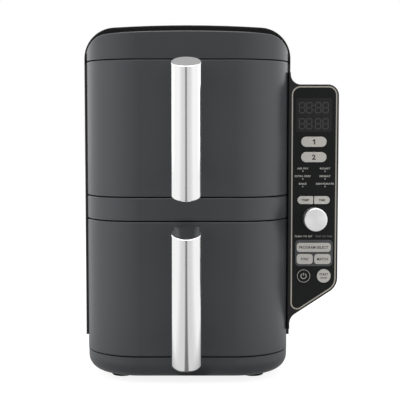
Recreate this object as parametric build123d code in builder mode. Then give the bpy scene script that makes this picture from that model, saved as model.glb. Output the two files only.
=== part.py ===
from build123d import *

import os
from math import cos, radians, sin, sqrt, tan

# Air fryer with two drawers, one above the other, and a control wing on its right side.
# Millimetres. The front faces -Y, +Z is up, and the origin is on the worktop under the
# middle of the whole outline.

# Overall sizes
body_width = 225.0  # over the two side panels
body_depth = 400.0  # front plane to wall spacers
handle_reach = 70.0  # handle in front of the front plane
wing_reach = 52.5  # control wing beyond the right side panel

# Stack of the front, from the worktop up
foot_height = 7.0
base_height = 23.0
drawer_height = 144.25
middle_height = 24.5
fascia_height = 29.0
crown_rise = 10.0
seam = 1.0  # open line between neighbouring front pieces

# Housing shells
skin = 2.5  # wall of the front shells, the base and the wing
panel_wall = 2.0  # wall of the side panels and the rear cover
front_step = 0.9  # front is narrower than the side panels by this, each side
front_corner = 60.0  # plan radius of the front corners
rear_corner = 40.0  # plan radius of the rear corners
wrap_depth = 44.0  # how far the front pieces wrap round
edge_round = 1.2  # rounding of the front pieces' long edges
fascia_round = 1.5  # rounding of the fascia's upper edge
fascia_shoulder = 27.5  # radius of the fascia's two upper corners, seen from the front
fascia_drop = 1.0  # those corners' arcs start this far under the fascia's lower edge
cover_shoulder = 34.0  # rounding of the cover's upper edge at its sides and behind
cover_crown = 1300.0  # radius of the cover's slightly crowned top
cover_skirt = 3.5  # cover reaches this far under the fascia
cover_gap = 0.4  # line between cover and fascia
panel_lift = 16.0  # side panels start this far above the base's front wall
panel_lap = 6.0  # base wall stands this far up inside the panels
lip_gap = 0.5  # side panel lip beside the grey front
lip_back = 2.0  # lip stands this far behind the front pieces' rear edges
lip_depth = 6.0
lip_round = 1.8
rear_wrap = 42.0  # rear cover's depth round the corners
floor_thick = 4.0
base_round = 16.0
foot_radius = 12.0
foot_spread = 145.0  # between left and right feet
foot_inset = 51.0  # feet in from the front plane and from the rear wall
foot_round = 1.5

# Drawers
drawer_gap = 0.5  # drawer front to bulkhead
pan_wall = 1.5
pan_rim = 3.0
pan_lift = 8.0  # pan floor above the front's lower edge
pan_drop = 16.0  # pan rim under the front's upper edge
pan_corner = 24.0
pan_round = 9.0
pan_clearance = 2.5  # rim to liner, each side
pan_glide = 0.4  # pan over the liner's runners
carrier_depth = 12.0
carrier_wall = 3.0
vent_slot_length = 44.0
vent_slot_width = 5.0
vent_slot_pitch = 12.0
vent_slot_count = 11
plate_gap = 4.0  # crisper plate to pan wall
plate_thick = 1.5
plate_rim = 14.0
plate_seat = 2.0  # plate rim over the pan floor
plate_hole = 3.5
plate_pitch = 15.0
plate_margin = 14.0  # edge of the plate left without holes
bumper_length = 24.0
bumper_height = 7.0
bumper_lift = 4.0  # bumper over the plate rim's lower edge
bumper_gap = 0.3

# Handles
bar_radius = 15.5
bar_wall = 2.5
bar_slope = 21.0  # slope of the bar's two ends, in degrees
bar_low = 0.5  # front foot of the bar under the drawer front's lower edge
bar_high = 11.2  # front top of the bar under the drawer front's upper edge
bar_round = 1.4
arm_width = 18.0
arm_height = 20.0
arm_cover = 6.0  # arm inside the bar's sloping end
foot_plate_width = 26.0
foot_plate_thick = 4.0

# Oven chambers
sheet = 1.0  # liner sheet
bulkhead_thick = 3.0
side_room = 11.6  # liner's inner wall in from the panels' lips
liner_flange = 2.5
runner_height = 2.5
runner_width = 8.0
runner_spread = 120.0
head_room = 6.0  # pan rim to liner ceiling
mouth_gap = 1.5  # bulkhead opening round the pan rim
machine_depth = 109.0  # pan to wall spacers
guard_gap = 3.0  # pan to fan guard
guard_sheet = 1.0
guard_fit = 0.4
guard_hole = 3.2
guard_pitch = 5.0
chamber_depth = 38.0  # guard to liner rear wall
heater_room = 7.0  # heater ring to liner ceiling
heater_tube = 3.25
heater_arc = 320.0
heater_lift = 11.0  # heater plane behind the guard
leg_tail = 8.0  # heater legs and probes behind the liner
fan_room = 9.0  # fan tip inside the heater ring
fan_lift = 18.0  # fan's front behind the guard
fan_blade = 12.0
fan_disc = 1.2
fan_hub = 8.0
fan_blades = 10
shaft_radius = 3.0
shaft_gap = 0.05
shaft_nose = 4.0  # shaft in front of the fan
shaft_hole = 7.0
cooling_gap = 4.0
cooling_width = 10.0
cooling_radius = 33.0
cooling_blades = 8
motor_gap = 4.0
motor_plate = 2.0
motor_radius = 28.0
motor_length = 28.0
motor_post = 3.5
motor_post_circle = 41.0
shaft_tail = 3.0  # shaft behind the motor
probe_radius = 2.0
probe_x = 84.0
probe_drop = 14.0  # probe under the liner ceiling
probe_reach = 10.0  # probe in front of the guard's rear face
switch_width = 6.4
switch_height = 20.0
switch_depth = 12.0
switch_inset = 1.4  # switch clear of the side panel's lip
plunger_radius = 1.5
plunger_gap = 0.3

# Rear and underside
spacer = 3.0
spacer_width = 8.0
spacer_height = 60.0
spacer_spread = 150.0
spacer_drop = 10.0
louvre_length = 70.0
louvre_height = 4.0
louvre_pitch = 9.0
louvre_count = 9
intake_length = 60.0
intake_count = 7
gland_x = 62.0  # left of the body's middle
gland_rise = 17.0  # above the side panel's lower edge
gland_bore = 3.8
gland_radius = 6.0
gland_flange = 9.0
gland_tail = 8.0
screw_radius = 2.0
screw_head = 4.0
screw_head_height = 2.2
screw_length = 10.0
screw_spread = 70.0
board_width = 130.0
board_depth = 90.0
board_thick = 1.6
board_post = 3.5
board_rise = 5.0
board_inset = 8.0  # posts in from the board's corners
relay_size = (24.0, 16.0, 12.0)
capacitor_radius = 5.5
capacitor_height = 11.0

# Control wing
wing_depth = 36.0
wing_setback = 40.0  # wing's face behind the front plane
wing_drop = 64.3  # wing's top edge under the housing's top
wing_rise = 19.7  # wing's sloping edge at the side panel, above the panel's lower edge
wing_slope = 33.3  # slope of the lower edge, in degrees
wing_top_round = 12.0
wing_low_round = 18.0
wing_top_blend = 11.0
wing_low_blend = 13.0
wing_blend_tail = 2.0
wing_edge = 1.2
bezel = 2.0  # rim round the trim
lens_inset = 1.1  # trim's left line right of the side panel's outer face
trim_width = 1.3
trim_top_round = 9.5
trim_low_round = 15.0
trim_tip_round = 7.0
ledge = 1.4
lens_thick = 2.2
wing_post = 3.0
wing_board_inset = 5.0
wing_board_lift = 18.0  # control board behind the wing's face
window_width = 39.4
window_height = 36.7
window_round = 2.0
window_drop = 33.2
window_x = -0.4  # window right of the lens middle
module_margin = 1.5
tact_size = 6.0
tact_height = 3.4
key_proud = 1.0
key_gap = 0.25
key_lip = 0.35
key_lip_thick = 1.0
key_lip_gap = 0.3
key_stem = 2.0
key_travel = 0.5
key_slack = 0.1
key_edge = 0.35
dial_radius = 12.5
dial_height = 20.0
dial_lift = 0.6
dial_drop = 146.0
dial_edge = 0.8
dial_x = 0.1  # dial right of the lens middle
dial_bore = 12.0
encoder_size = 13.0
encoder_height = 6.5
encoder_bush = 4.5
encoder_bush_height = 5.0
encoder_floor = 2.0

# Keys: offset right of the lens middle, drop under the wing's top, width, height,
# corner radius on the left and on the right
pill = 5.4
split_pill = 4.2
square = 0.8
soft = 3.6
full_round_power = 7.7
full_round_start = 7.4
keys = {
    "zone_one_button": (-0.5, 62.3, 27.6, 11.0, pill, pill),
    "zone_two_button": (-0.5, 79.0, 27.6, 11.0, pill, pill),
    "temperature_button": (-9.4, 126.0, 17.2, 8.6, split_pill, square),
    "time_button": (8.8, 126.0, 17.2, 8.6, square, split_pill),
    "program_button": (0.2, 178.0, 37.6, 10.1, soft, soft),
    "sync_button": (-9.6, 190.9, 17.9, 11.2, soft, soft),
    "match_button": (9.9, 190.9, 18.2, 11.2, soft, soft),
    "power_button": (-10.7, 209.6, 15.6, 15.6, full_round_power, full_round_power),
    "start_button": (11.5, 209.6, 15.0, 15.0, full_round_start, full_round_start),
}

# Places along X
body_x = -wing_reach / 2
side_half = body_width / 2
front_half = side_half - front_step
base_half = side_half - panel_wall
side_x = body_x + side_half
wing_x = side_x + wing_reach
front_edge_half = front_half - front_corner + sqrt(front_corner**2 - (front_corner - wrap_depth) ** 2)
lip_half = front_edge_half + lip_gap
tub_corner = front_corner - skin
tub_half = base_half - front_corner + sqrt(tub_corner**2 - (front_corner - wrap_depth - drawer_gap) ** 2)
liner_half = lip_half - side_room
switch_offset = lip_half - switch_inset - switch_width / 2
pan_half = liner_half - pan_clearance - pan_rim
tab_width = 2 * (front_half - cover_shoulder)

# Places along Y
front_y = (handle_reach - body_depth) / 2
rear_y = front_y + body_depth
wall_y = rear_y - spacer
wrap_y = front_y + wrap_depth
bulkhead_y = wrap_y + drawer_gap
chamber_y = bulkhead_y + bulkhead_thick
lip_y = wrap_y + lip_back
lip_rear_y = lip_y + lip_depth
fascia_depth = lip_y + skin - front_y
rear_wrap_y = wall_y - rear_wrap
pan_rear_y = rear_y - machine_depth
pan_length = pan_rear_y - wrap_y
guard_y = pan_rear_y + guard_gap
heater_y = guard_y + heater_lift
fan_y = guard_y + fan_lift
liner_rear_y = guard_y + chamber_depth
cooling_y = liner_rear_y + sheet + cooling_gap
motor_y = cooling_y + cooling_width + motor_gap
bar_y = front_y - handle_reach + bar_radius
wing_y = front_y + wing_setback
lens_rear_y = wing_y + lens_thick
wing_board_y = wing_y + wing_board_lift
wing_back_y = wing_y + wing_depth - skin

# Places along Z
base_z = foot_height
base_top = base_z + base_height
lower_z = base_top + seam
middle_z = lower_z + drawer_height + seam
upper_z = middle_z + middle_height + seam
fascia_z = upper_z + drawer_height + seam
fascia_top = fascia_z + fascia_height
top_z = fascia_top + crown_rise
cover_z = fascia_z - cover_skirt
panel_z = base_top + panel_lift
floor_z = base_z + floor_thick
pan_height = drawer_height - pan_lift - pan_drop
liner_height = pan_height + pan_glide + runner_height + head_room
wing_top = top_z - wing_drop
wing_foot = panel_z + wing_rise
wing_corner_z = wing_foot + wing_reach * tan(radians(wing_slope))
lens_left = side_x + lens_inset
lens_x = (lens_left + wing_x - bezel) / 2

# Sizes of the oven's round pieces
heater_radius = liner_height / 2 - heater_room - heater_tube
fan_radius = heater_radius - heater_tube - fan_room

drawers = {"upper": upper_z, "lower": lower_z}

# Which way a centred shape grows from its plane
forward = (Align.CENTER, Align.CENTER, Align.MIN)
backward = (Align.CENTER, Align.CENTER, Align.MAX)
upward = (Align.CENTER, Align.MIN)


def save(part, name):
    """Label a finished piece and write it under its name."""
    part.label = name
    export_step(part, f"parts/{name}.step")


def front_facing(x, y, z):
    """Plane whose normal points to the front, with local x along X and local y up."""
    return Plane(origin=(x, y, z), x_dir=(1, 0, 0), z_dir=(0, -1, 0))


def front_plan(z, inset=0.0, depth=wrap_depth, half=front_half):
    """Plan of the grey front: flat face and two round corners, cut straight across behind."""
    with BuildSketch(Plane((body_x, front_y, z))) as plan:
        with Locations((0, inset)):
            Rectangle(2 * (half - inset), 2 * front_corner, align=upward)
        fillet(plan.vertices().group_by(Axis.Y)[0], front_corner - inset)
        Rectangle(2 * side_half, depth, align=upward, mode=Mode.INTERSECT)
    return plan.sketch


def body_plan(z, half, front, rear, inset=0.0):
    """Plan of the whole body: large round corners in front, smaller ones behind."""
    with BuildSketch(Plane((body_x, front, z))) as plan:
        with Locations((0, inset)):
            length = rear - front - 2 * inset
            Rectangle(2 * (half - inset), length, align=upward)
        fillet(plan.vertices().group_by(Axis.Y)[0], front_corner - inset)
        fillet(plan.vertices().group_by(Axis.Y)[-1], rear_corner - side_half + half - inset)
    return plan.sketch


def arch(half, spring, top, shoulder):
    """Front view of a crowned cap: straight sides, two shoulder arcs and one flat crown arc."""
    rise = top - spring
    span = half - shoulder
    crown = (span**2 + rise**2 - shoulder**2) / (2 * (rise - shoulder))
    lean = crown - rise
    turn_x = span * crown / (crown - shoulder)
    turn_z = spring + lean * shoulder / (crown - shoulder)
    mid_x = span + shoulder * cos(radians(45))
    mid_z = spring + shoulder * sin(radians(45))
    with BuildSketch(front_facing(body_x, front_y, 0)) as view:
        with BuildLine():
            Polyline((-half, spring), (-half, cover_z), (half, cover_z), (half, spring))
            ThreePointArc((half, spring), (mid_x, mid_z), (turn_x, turn_z))
            ThreePointArc((turn_x, turn_z), (0, top), (-turn_x, turn_z))
            ThreePointArc((-turn_x, turn_z), (-mid_x, mid_z), (-half, spring))
        make_face()
    return view.sketch


def fascia_block(grow=0.0, inset=0.0, depth=fascia_depth):
    """Outer shape of the top fascia, grown or shrunk all round."""
    reach = inset - grow
    with BuildPart() as block:
        extrude(front_plan(fascia_z + reach, reach, depth), amount=fascia_height - 2 * reach)
        profile = arch(
            front_half - reach, fascia_z - fascia_drop, fascia_top - reach, fascia_shoulder - reach
        )
        extrude(profile, amount=-depth - front_corner, both=True, mode=Mode.INTERSECT)
    return block.part


def cover_block(inset=0.0):
    """Outer shape of the top cover, or the hollow under it."""
    with BuildPart() as block:
        length = wall_y - lip_y - 2 * inset
        with BuildSketch(Plane((body_x, lip_y + inset, cover_z))) as plan:
            Rectangle(2 * (side_half - inset), length, align=upward)
            fillet(plan.vertices().group_by(Axis.Y)[-1], rear_corner - inset)
        extrude(amount=top_z - cover_z)
        with Locations((body_x, lip_y + inset, top_z - cover_crown)):
            Cylinder(
                cover_crown - inset, length, rotation=(-90, 0, 0), align=forward, mode=Mode.INTERSECT
            )
        crown_edges = block.faces().sort_by(Axis.Z)[-1].edges().sort_by(Axis.Y)
        fillet(crown_edges[1:], cover_shoulder - inset)
    return block.part


def lens_outline(y, inset=0.0):
    """Outline of the control panel's trim, or a line inside it."""
    top = wing_top - bezel
    right = wing_x - bezel
    rise = bezel / cos(radians(wing_slope))
    low_left = wing_foot + rise + (lens_left - side_x) * tan(radians(wing_slope))
    low_right = wing_corner_z + rise - bezel * tan(radians(wing_slope))
    with BuildSketch(front_facing(0, y, 0)) as outline:
        with BuildLine():
            Polyline((lens_left, top), (right, top), (right, low_right), (lens_left, low_left), close=True)
        make_face()
        corners = outline.vertices().sort_by(Axis.Y)
        fillet(corners[2:], trim_top_round)
        fillet(outline.vertices().group_by(Axis.Y)[0], trim_tip_round)
        low_corner = outline.vertices().filter_by_position(Axis.Y, low_right - seam, low_right + seam)
        fillet(low_corner, trim_low_round)
        if inset:
            offset(amount=-inset)
    return outline.sketch


def wing_outline(y):
    """Outline of the wing with the two blends that join it to the side panel."""
    top_tail = wing_top + wing_top_blend + wing_blend_tail
    low_tail = wing_foot - wing_low_blend
    left = body_x + lip_half
    with BuildSketch(front_facing(0, y, 0)) as outline:
        with BuildLine():
            Polyline(
                (left, top_tail),
                (side_x, top_tail),
                (side_x, wing_top),
                (wing_x, wing_top),
                (wing_x, wing_corner_z),
                (side_x, wing_foot),
                (side_x, low_tail),
                (left, low_tail),
                close=True,
            )
        make_face()
        fillet(outline.vertices().group_by(Axis.X)[-1].sort_by(Axis.Y)[1], wing_top_round)
        fillet(outline.vertices().group_by(Axis.X)[-1].sort_by(Axis.Y)[0], wing_low_round)
        fillet(outline.vertices().group_by(Axis.X)[1].sort_by(Axis.Y)[2], wing_top_blend)
        fillet(outline.vertices().group_by(Axis.X)[1].sort_by(Axis.Y)[1], wing_low_blend)
    return outline.sketch


def key_outline(key, y, grow=0.0):
    """Outline of one key on a plane facing the front."""
    across, drop, width, height, left_round, right_round = keys[key]
    with BuildSketch(front_facing(lens_x + across, y, wing_top - drop)) as outline:
        Rectangle(width + 2 * grow, height + 2 * grow)
        fillet(outline.vertices().group_by(Axis.X)[0], left_round + grow)
        fillet(outline.vertices().group_by(Axis.X)[-1], right_round + grow)
    return outline.sketch


def chamber_middle(z):
    """Height of the fan's axis in the chamber behind the drawer front that starts at z."""
    return z + pan_lift - pan_glide - runner_height + liner_height / 2


def liner_plane(y, z):
    """Front-facing plane on the axis of the chamber behind the drawer that starts at z."""
    return front_facing(body_x, y, chamber_middle(z))


def heater_legs():
    """Places of the two heater legs round the fan's axis, on a front-facing plane."""
    half_gap = radians((360 - heater_arc) / 2)
    reach = heater_radius * sin(half_gap)
    drop = heater_radius * cos(half_gap)
    return [(reach, drop), (-reach, drop)]


def ring_start_plane(middle):
    """Plane through the fan's axis and the left end of the heater ring."""
    half_gap = radians((360 - heater_arc) / 2)
    outward = (-sin(half_gap), 0, cos(half_gap))
    along = (cos(half_gap), 0, sin(half_gap))
    return Plane(origin=middle, x_dir=outward, z_dir=along)


def bar_plane(z, front_foot):
    """Sloping plane of a bar end whose front edge is at z + front_foot."""
    slope = radians(bar_slope)
    front_edge = (body_x, bar_y - bar_radius, z + front_foot)
    return Plane(origin=front_edge, x_dir=(1, 0, 0), z_dir=(0, -sin(slope), cos(slope)))


os.makedirs("parts", exist_ok=True)

# Top cover: a crowned shell with a lip in front and an opening there for the fascia
with BuildPart() as top_cover:
    add(cover_block())
    lip_face = top_cover.faces().sort_by(Axis.Y)[0]
    fillet(lip_face.edges().filter_by_position(Axis.Z, cover_z + seam, top_z), lip_round)
    add(cover_block(skin), mode=Mode.SUBTRACT)
    add(fascia_block(grow=cover_gap, depth=fascia_depth + cover_gap), mode=Mode.SUBTRACT)
    extrude(
        front_plan(cover_z, -lip_gap, fascia_depth + cover_gap),
        amount=fascia_z - cover_z,
        mode=Mode.SUBTRACT,
    )
save(top_cover.part, "top_cover")

# Top fascia: a hollow cap, open behind and rounded along its upper edge, its floor notched
# for the bulkhead's tab
with BuildPart() as top_fascia:
    add(fascia_block())
    upper_edges = top_fascia.edges().filter_by_position(Axis.Z, fascia_z + seam, fascia_top)
    fillet(upper_edges.filter_by_position(Axis.Y, front_y, wrap_y), fascia_round)
    add(fascia_block(inset=skin), mode=Mode.SUBTRACT)
    with Locations((body_x, bulkhead_y, fascia_z)):
        notch_depth = fascia_depth + front_y - bulkhead_y
        notch_align = (Align.CENTER, Align.MIN, Align.MIN)
        Box(tab_width + 2 * cover_gap, notch_depth, skin, align=notch_align, mode=Mode.SUBTRACT)
save(top_fascia.part, "top_fascia")

# Strip between the two drawers, open behind
with BuildPart() as mid_fascia:
    strip_depth = wrap_depth + drawer_gap
    extrude(front_plan(middle_z, depth=strip_depth), amount=middle_height)
    fillet(mid_fascia.edges().group_by(Axis.Y)[0].filter_by(Axis.X), edge_round)
    extrude(
        front_plan(middle_z + skin, skin, strip_depth), amount=middle_height - 2 * skin, mode=Mode.SUBTRACT
    )
save(mid_fascia.part, "mid_fascia")

# Base pan: a tub with a round lower edge, a deck behind its front wall and board posts
wall_top = panel_z + panel_lap
base_rear = wall_y - panel_wall
with BuildPart() as tub_hollow:
    extrude(body_plan(floor_z, base_half, front_y, base_rear, skin), amount=wall_top)
    fillet(tub_hollow.edges().group_by(Axis.Z)[0], base_round - skin)

with BuildPart() as base_pan:
    extrude(body_plan(base_z, base_half, front_y, base_rear), amount=wall_top - base_z)
    fillet(base_pan.edges().group_by(Axis.Z)[0], base_round)
    add(tub_hollow.part, mode=Mode.SUBTRACT)
    with Locations((body_x, front_y, base_top)):
        front_cut = lip_rear_y + drawer_gap - front_y
        Box(body_width, front_cut, wall_top, align=(Align.CENTER, Align.MIN, Align.MIN), mode=Mode.SUBTRACT)
    extrude(front_plan(base_top - skin, skin / 2, half=base_half), amount=skin)
    with BuildSketch(Plane((body_x, 0, floor_z))) as posts:
        with GridLocations(board_width - 2 * board_inset, board_depth - 2 * board_inset, 2, 2):
            Circle(board_post)
    extrude(amount=board_rise)
    with BuildSketch(Plane((body_x, (pan_rear_y + wall_y) / 2, base_z))) as intakes:
        with GridLocations(0, louvre_pitch, 1, intake_count):
            SlotOverall(intake_length, louvre_height)
    extrude(amount=floor_thick, mode=Mode.SUBTRACT)
    with BuildSketch(front_facing(body_x, wall_y, panel_z + panel_lap / 2)) as screw_holes:
        with GridLocations(screw_spread, 0, 3, 1):
            Circle(screw_radius)
    extrude(amount=panel_wall + skin, mode=Mode.SUBTRACT)
save(base_pan.part, "base_pan")

# Rubber feet
with BuildPart() as rubber_feet:
    foot_run = body_depth - spacer - 2 * foot_inset
    with BuildSketch(Plane((body_x, front_y + foot_inset + foot_run / 2, 0))) as prints:
        with GridLocations(foot_spread, foot_run, 2, 2):
            Circle(foot_radius)
    extrude(amount=foot_height)
    fillet(rubber_feet.edges().group_by(Axis.Z)[0], foot_round)
save(rubber_feet.part, "rubber_feet")


def panel_plan(side):
    """Plan of a side panel: a wall with a thick rounded lip at its front."""
    with BuildSketch(Plane((body_x, 0, panel_z))) as plan:
        with BuildLine():
            Polyline(
                (side * lip_half, lip_y),
                (side * side_half, lip_y),
                (side * side_half, rear_wrap_y),
                (side * (side_half - panel_wall), rear_wrap_y),
                (side * (side_half - panel_wall), lip_rear_y),
                (side * lip_half, lip_rear_y),
                close=True,
            )
        make_face()
        nose = plan.vertices().group_by(Axis.Y)[0].sort_by(Axis.X)
        fillet(nose[-1] if side > 0 else nose[0], lip_round)
    return plan.sketch


# Left side panel
with BuildPart() as left_side_panel:
    extrude(panel_plan(-1), amount=cover_z - panel_z)
save(left_side_panel.part, "left_side_panel")

# Right side panel with the wing's shell: a pocket for the lens, a ledge behind it,
# a hollow for the board and a recess for the wing's back
with BuildPart() as right_side_panel:
    extrude(wing_outline(wing_y), amount=-wing_depth)
    fillet(right_side_panel.faces().sort_by(Axis.Y)[0].edges(), wing_edge)
    extrude(panel_plan(1), amount=cover_z - panel_z)
    extrude(lens_outline(wing_y), amount=-lens_thick, mode=Mode.SUBTRACT)
    extrude(lens_outline(wing_y, trim_width + ledge), amount=-wing_depth, mode=Mode.SUBTRACT)
    extrude(lens_outline(wing_back_y), amount=-skin, mode=Mode.SUBTRACT)
save(right_side_panel.part, "right_side_panel")

# Wing back: closing plate with three posts that carry the control board
post_places = [(0.0, window_drop), (0.0, dial_drop - window_height), (0.0, dial_drop + window_height / 2)]
with BuildPart() as wing_back:
    extrude(lens_outline(wing_back_y), amount=-skin)
    with BuildSketch(front_facing(lens_x, wing_back_y, wing_top)) as posts:
        with Locations([(across, -drop) for across, drop in post_places]):
            Circle(wing_post)
    extrude(amount=wing_back_y - wing_board_y - board_thick)
save(wing_back.part, "wing_back")

# Control lens with its openings for the window, the dial's shaft and the keys
with BuildPart() as control_lens:
    extrude(lens_outline(wing_y, trim_width), amount=-lens_thick)
    with BuildSketch(front_facing(lens_x, wing_y, wing_top)) as openings:
        with Locations((window_x, -window_drop)):
            RectangleRounded(window_width, window_height, window_round)
        with Locations((dial_x, -dial_drop)):
            Circle(shaft_radius + key_gap)
    extrude(amount=-lens_thick, mode=Mode.SUBTRACT)
    for key in keys:
        extrude(key_outline(key, wing_y, key_gap), amount=-lens_thick, mode=Mode.SUBTRACT)
save(control_lens.part, "control_lens")

# Metal trim line round the lens
with BuildPart() as lens_trim:
    extrude(lens_outline(wing_y), amount=-lens_thick)
    extrude(lens_outline(wing_y, trim_width), amount=-lens_thick, mode=Mode.SUBTRACT)
save(lens_trim.part, "lens_trim")

# Display window and the module behind it
with BuildPart() as display_window:
    with BuildSketch(front_facing(lens_x + window_x, wing_y, wing_top - window_drop)) as pane:
        RectangleRounded(window_width, window_height, window_round)
    extrude(amount=-lens_thick)
save(display_window.part, "display_window")

with BuildPart() as display_module:
    with BuildSketch(front_facing(lens_x + window_x, lens_rear_y, wing_top - window_drop)) as block:
        Rectangle(window_width - 2 * module_margin, window_height - 2 * module_margin)
    extrude(amount=lens_rear_y - wing_board_y)
save(display_module.part, "display_module")

# Control board with one small switch behind each key
with BuildPart() as control_board:
    extrude(lens_outline(wing_board_y, wing_board_inset), amount=-board_thick)
    for across, drop, *_ in keys.values():
        with Locations((lens_x + across, wing_board_y, wing_top - drop)):
            Box(tact_size, tact_height, tact_size, align=(Align.CENTER, Align.MAX, Align.CENTER))
save(control_board.part, "control_board")

# Encoder with a bush that carries the dial's shaft
with BuildPart(front_facing(lens_x + dial_x, wing_board_y, wing_top - dial_drop)) as encoder:
    Box(encoder_size, encoder_size, encoder_height, align=forward)
    Cylinder(encoder_bush, encoder_height + encoder_bush_height, align=forward)
    with Locations((0, 0, encoder_floor)):
        reach = encoder_height + encoder_bush_height
        Cylinder(
            shaft_radius + shaft_gap, reach, align=forward, mode=Mode.SUBTRACT
        )
save(encoder.part, "encoder")

# Dial knob on its shaft
dial_back_y = wing_y - dial_lift
with BuildPart(front_facing(lens_x + dial_x, dial_back_y, wing_top - dial_drop)) as dial_knob:
    Cylinder(dial_radius, dial_height - dial_lift, align=forward)
    chamfer(dial_knob.faces().sort_by(Axis.Y)[0].edges(), dial_edge)
    Cylinder(shaft_radius, dial_bore, align=forward, mode=Mode.SUBTRACT)
save(dial_knob.part, "dial_knob")

shaft_rear_y = wing_board_y - encoder_floor - key_lip_gap
with BuildPart(front_facing(lens_x + dial_x, shaft_rear_y, wing_top - dial_drop)) as dial_shaft:
    length = shaft_rear_y - dial_back_y + dial_bore
    Cylinder(shaft_radius, length, align=forward)
save(dial_shaft.part, "dial_shaft")

# Keys: a cap through the lens, a lip behind it and a stem to the switch
stem_rear_y = wing_board_y - tact_height - key_travel - key_slack
lip_plane_y = lens_rear_y + key_lip_gap
for key, (across, drop, *_) in keys.items():
    with BuildPart() as button:
        extrude(key_outline(key, lip_plane_y), amount=lip_plane_y - wing_y + key_proud)
        fillet(button.faces().sort_by(Axis.Y)[0].edges(), key_edge)
        extrude(key_outline(key, lip_plane_y, key_lip), amount=-key_lip_thick)
        with BuildSketch(front_facing(lens_x + across, lip_plane_y, wing_top - drop)) as stem:
            Circle(key_stem)
        extrude(amount=lip_plane_y - stem_rear_y)
    save(button.part, key)

# Front bulkhead: the wall behind the drawers, with a mouth for each pan
with BuildPart() as front_bulkhead:
    with BuildSketch(front_facing(body_x, bulkhead_y, 0)) as wall:
        tub_top = panel_z + panel_lap
        with Locations((0, tub_top)):
            Rectangle(2 * lip_half, cover_z - tub_top, align=upward)
        with Locations((0, floor_z)):
            Rectangle(2 * tub_half, tub_top - floor_z, align=upward)
        fillet(wall.vertices().group_by(Axis.Y)[0], base_round)
        with Locations((0, cover_z)):
            Rectangle(tab_width, fascia_height - skin, align=upward)
        for z in drawers.values():
            with Locations((0, z + pan_lift - pan_glide)):
                mouth_width = 2 * (pan_half + pan_rim + mouth_gap)
                mouth_height = pan_height + pan_glide + mouth_gap
                Rectangle(mouth_width, mouth_height, align=upward, mode=Mode.SUBTRACT)
            with Locations((switch_offset, z + drawer_height / 2)):
                Circle(plunger_radius, mode=Mode.SUBTRACT)
    extrude(amount=-bulkhead_thick)
save(front_bulkhead.part, "front_bulkhead")

# Drawer switches on the bulkhead, their plungers reaching to the drawer carriers
with BuildPart() as drawer_switches:
    switch_x = body_x + switch_offset
    for z in drawers.values():
        with Locations((switch_x, chamber_y, z + drawer_height / 2)):
            Box(switch_width, switch_depth, switch_height, align=(Align.CENTER, Align.MIN, Align.CENTER))
        with BuildSketch(front_facing(switch_x, chamber_y, z + drawer_height / 2)) as plunger:
            Circle(plunger_radius)
        extrude(amount=chamber_y - wrap_y - plunger_gap)
save(drawer_switches.part, "drawer_switches")

# Rear cover: a wall that wraps the rear corners, with louvres and two wall spacers
with BuildPart() as rear_cover:
    with BuildSketch(Plane((body_x, rear_wrap_y, panel_z))) as plan:
        Rectangle(2 * side_half, rear_wrap, align=upward)
        fillet(plan.vertices().group_by(Axis.Y)[-1], rear_corner)
        with BuildSketch(mode=Mode.SUBTRACT) as hollow:
            Rectangle(2 * (side_half - panel_wall), rear_wrap - panel_wall, align=upward)
            fillet(hollow.vertices().group_by(Axis.Y)[-1], rear_corner - panel_wall)
    extrude(amount=cover_z - panel_z)
    for z in drawers.values():
        with BuildSketch(liner_plane(wall_y, z)) as louvres:
            with GridLocations(0, louvre_pitch, 1, louvre_count):
                SlotOverall(louvre_length, louvre_height)
        extrude(amount=panel_wall, mode=Mode.SUBTRACT)
    with BuildSketch(front_facing(body_x, wall_y, panel_z)) as holes:
        with Locations((-gland_x, gland_rise)):
            Circle(gland_radius)
        with Locations((0, panel_lap / 2)):
            with GridLocations(screw_spread, 0, 3, 1):
                Circle(screw_radius)
    extrude(amount=panel_wall, mode=Mode.SUBTRACT)
    with BuildSketch(front_facing(body_x, wall_y, cover_z - spacer_drop)) as spacers:
        with GridLocations(spacer_spread, 0, 2, 1):
            RectangleRounded(
                spacer_width, spacer_height, spacer_width / 2 - edge_round, align=(Align.CENTER, Align.MAX)
            )
    extrude(amount=-spacer)
save(rear_cover.part, "rear_cover")

# Cord gland in the rear cover
with BuildPart(front_facing(body_x - gland_x, wall_y, panel_z + gland_rise)) as cord_gland:
    Cylinder(gland_radius, panel_wall + gland_tail, align=forward)
    Cylinder(gland_flange, spacer, align=backward)
    fillet(cord_gland.faces().sort_by(Axis.Y)[-1].edges(), edge_round)
    Hole(gland_bore)
save(cord_gland.part, "cord_gland")

# Screws through the rear cover into the base
with BuildPart() as case_screws:
    screw_plane = front_facing(body_x, wall_y, panel_z + panel_lap / 2)
    with BuildSketch(screw_plane) as shanks:
        with GridLocations(screw_spread, 0, 3, 1):
            Circle(screw_radius)
    extrude(amount=screw_length)
    with BuildSketch(screw_plane) as heads:
        with GridLocations(screw_spread, 0, 3, 1):
            Circle(screw_head)
    extrude(amount=-screw_head_height)
    fillet(case_screws.edges().group_by(Axis.Y)[-1], screw_radius / 2)
save(case_screws.part, "case_screws")

# Power board on the base's posts, with a relay and two capacitors
with BuildPart() as power_board:
    board_z = floor_z + board_rise
    with Locations((body_x, 0, board_z)):
        Box(board_width, board_depth, board_thick, align=forward)
    with Locations((body_x - board_width / 4, 0, board_z + board_thick)):
        Box(*relay_size, align=forward)
    with BuildSketch(Plane((body_x + board_width / 4, 0, board_z + board_thick))) as cans:
        with GridLocations(0, board_depth / 3, 1, 2):
            Circle(capacitor_radius)
    extrude(amount=capacitor_height)
save(power_board.part, "power_board")

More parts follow.
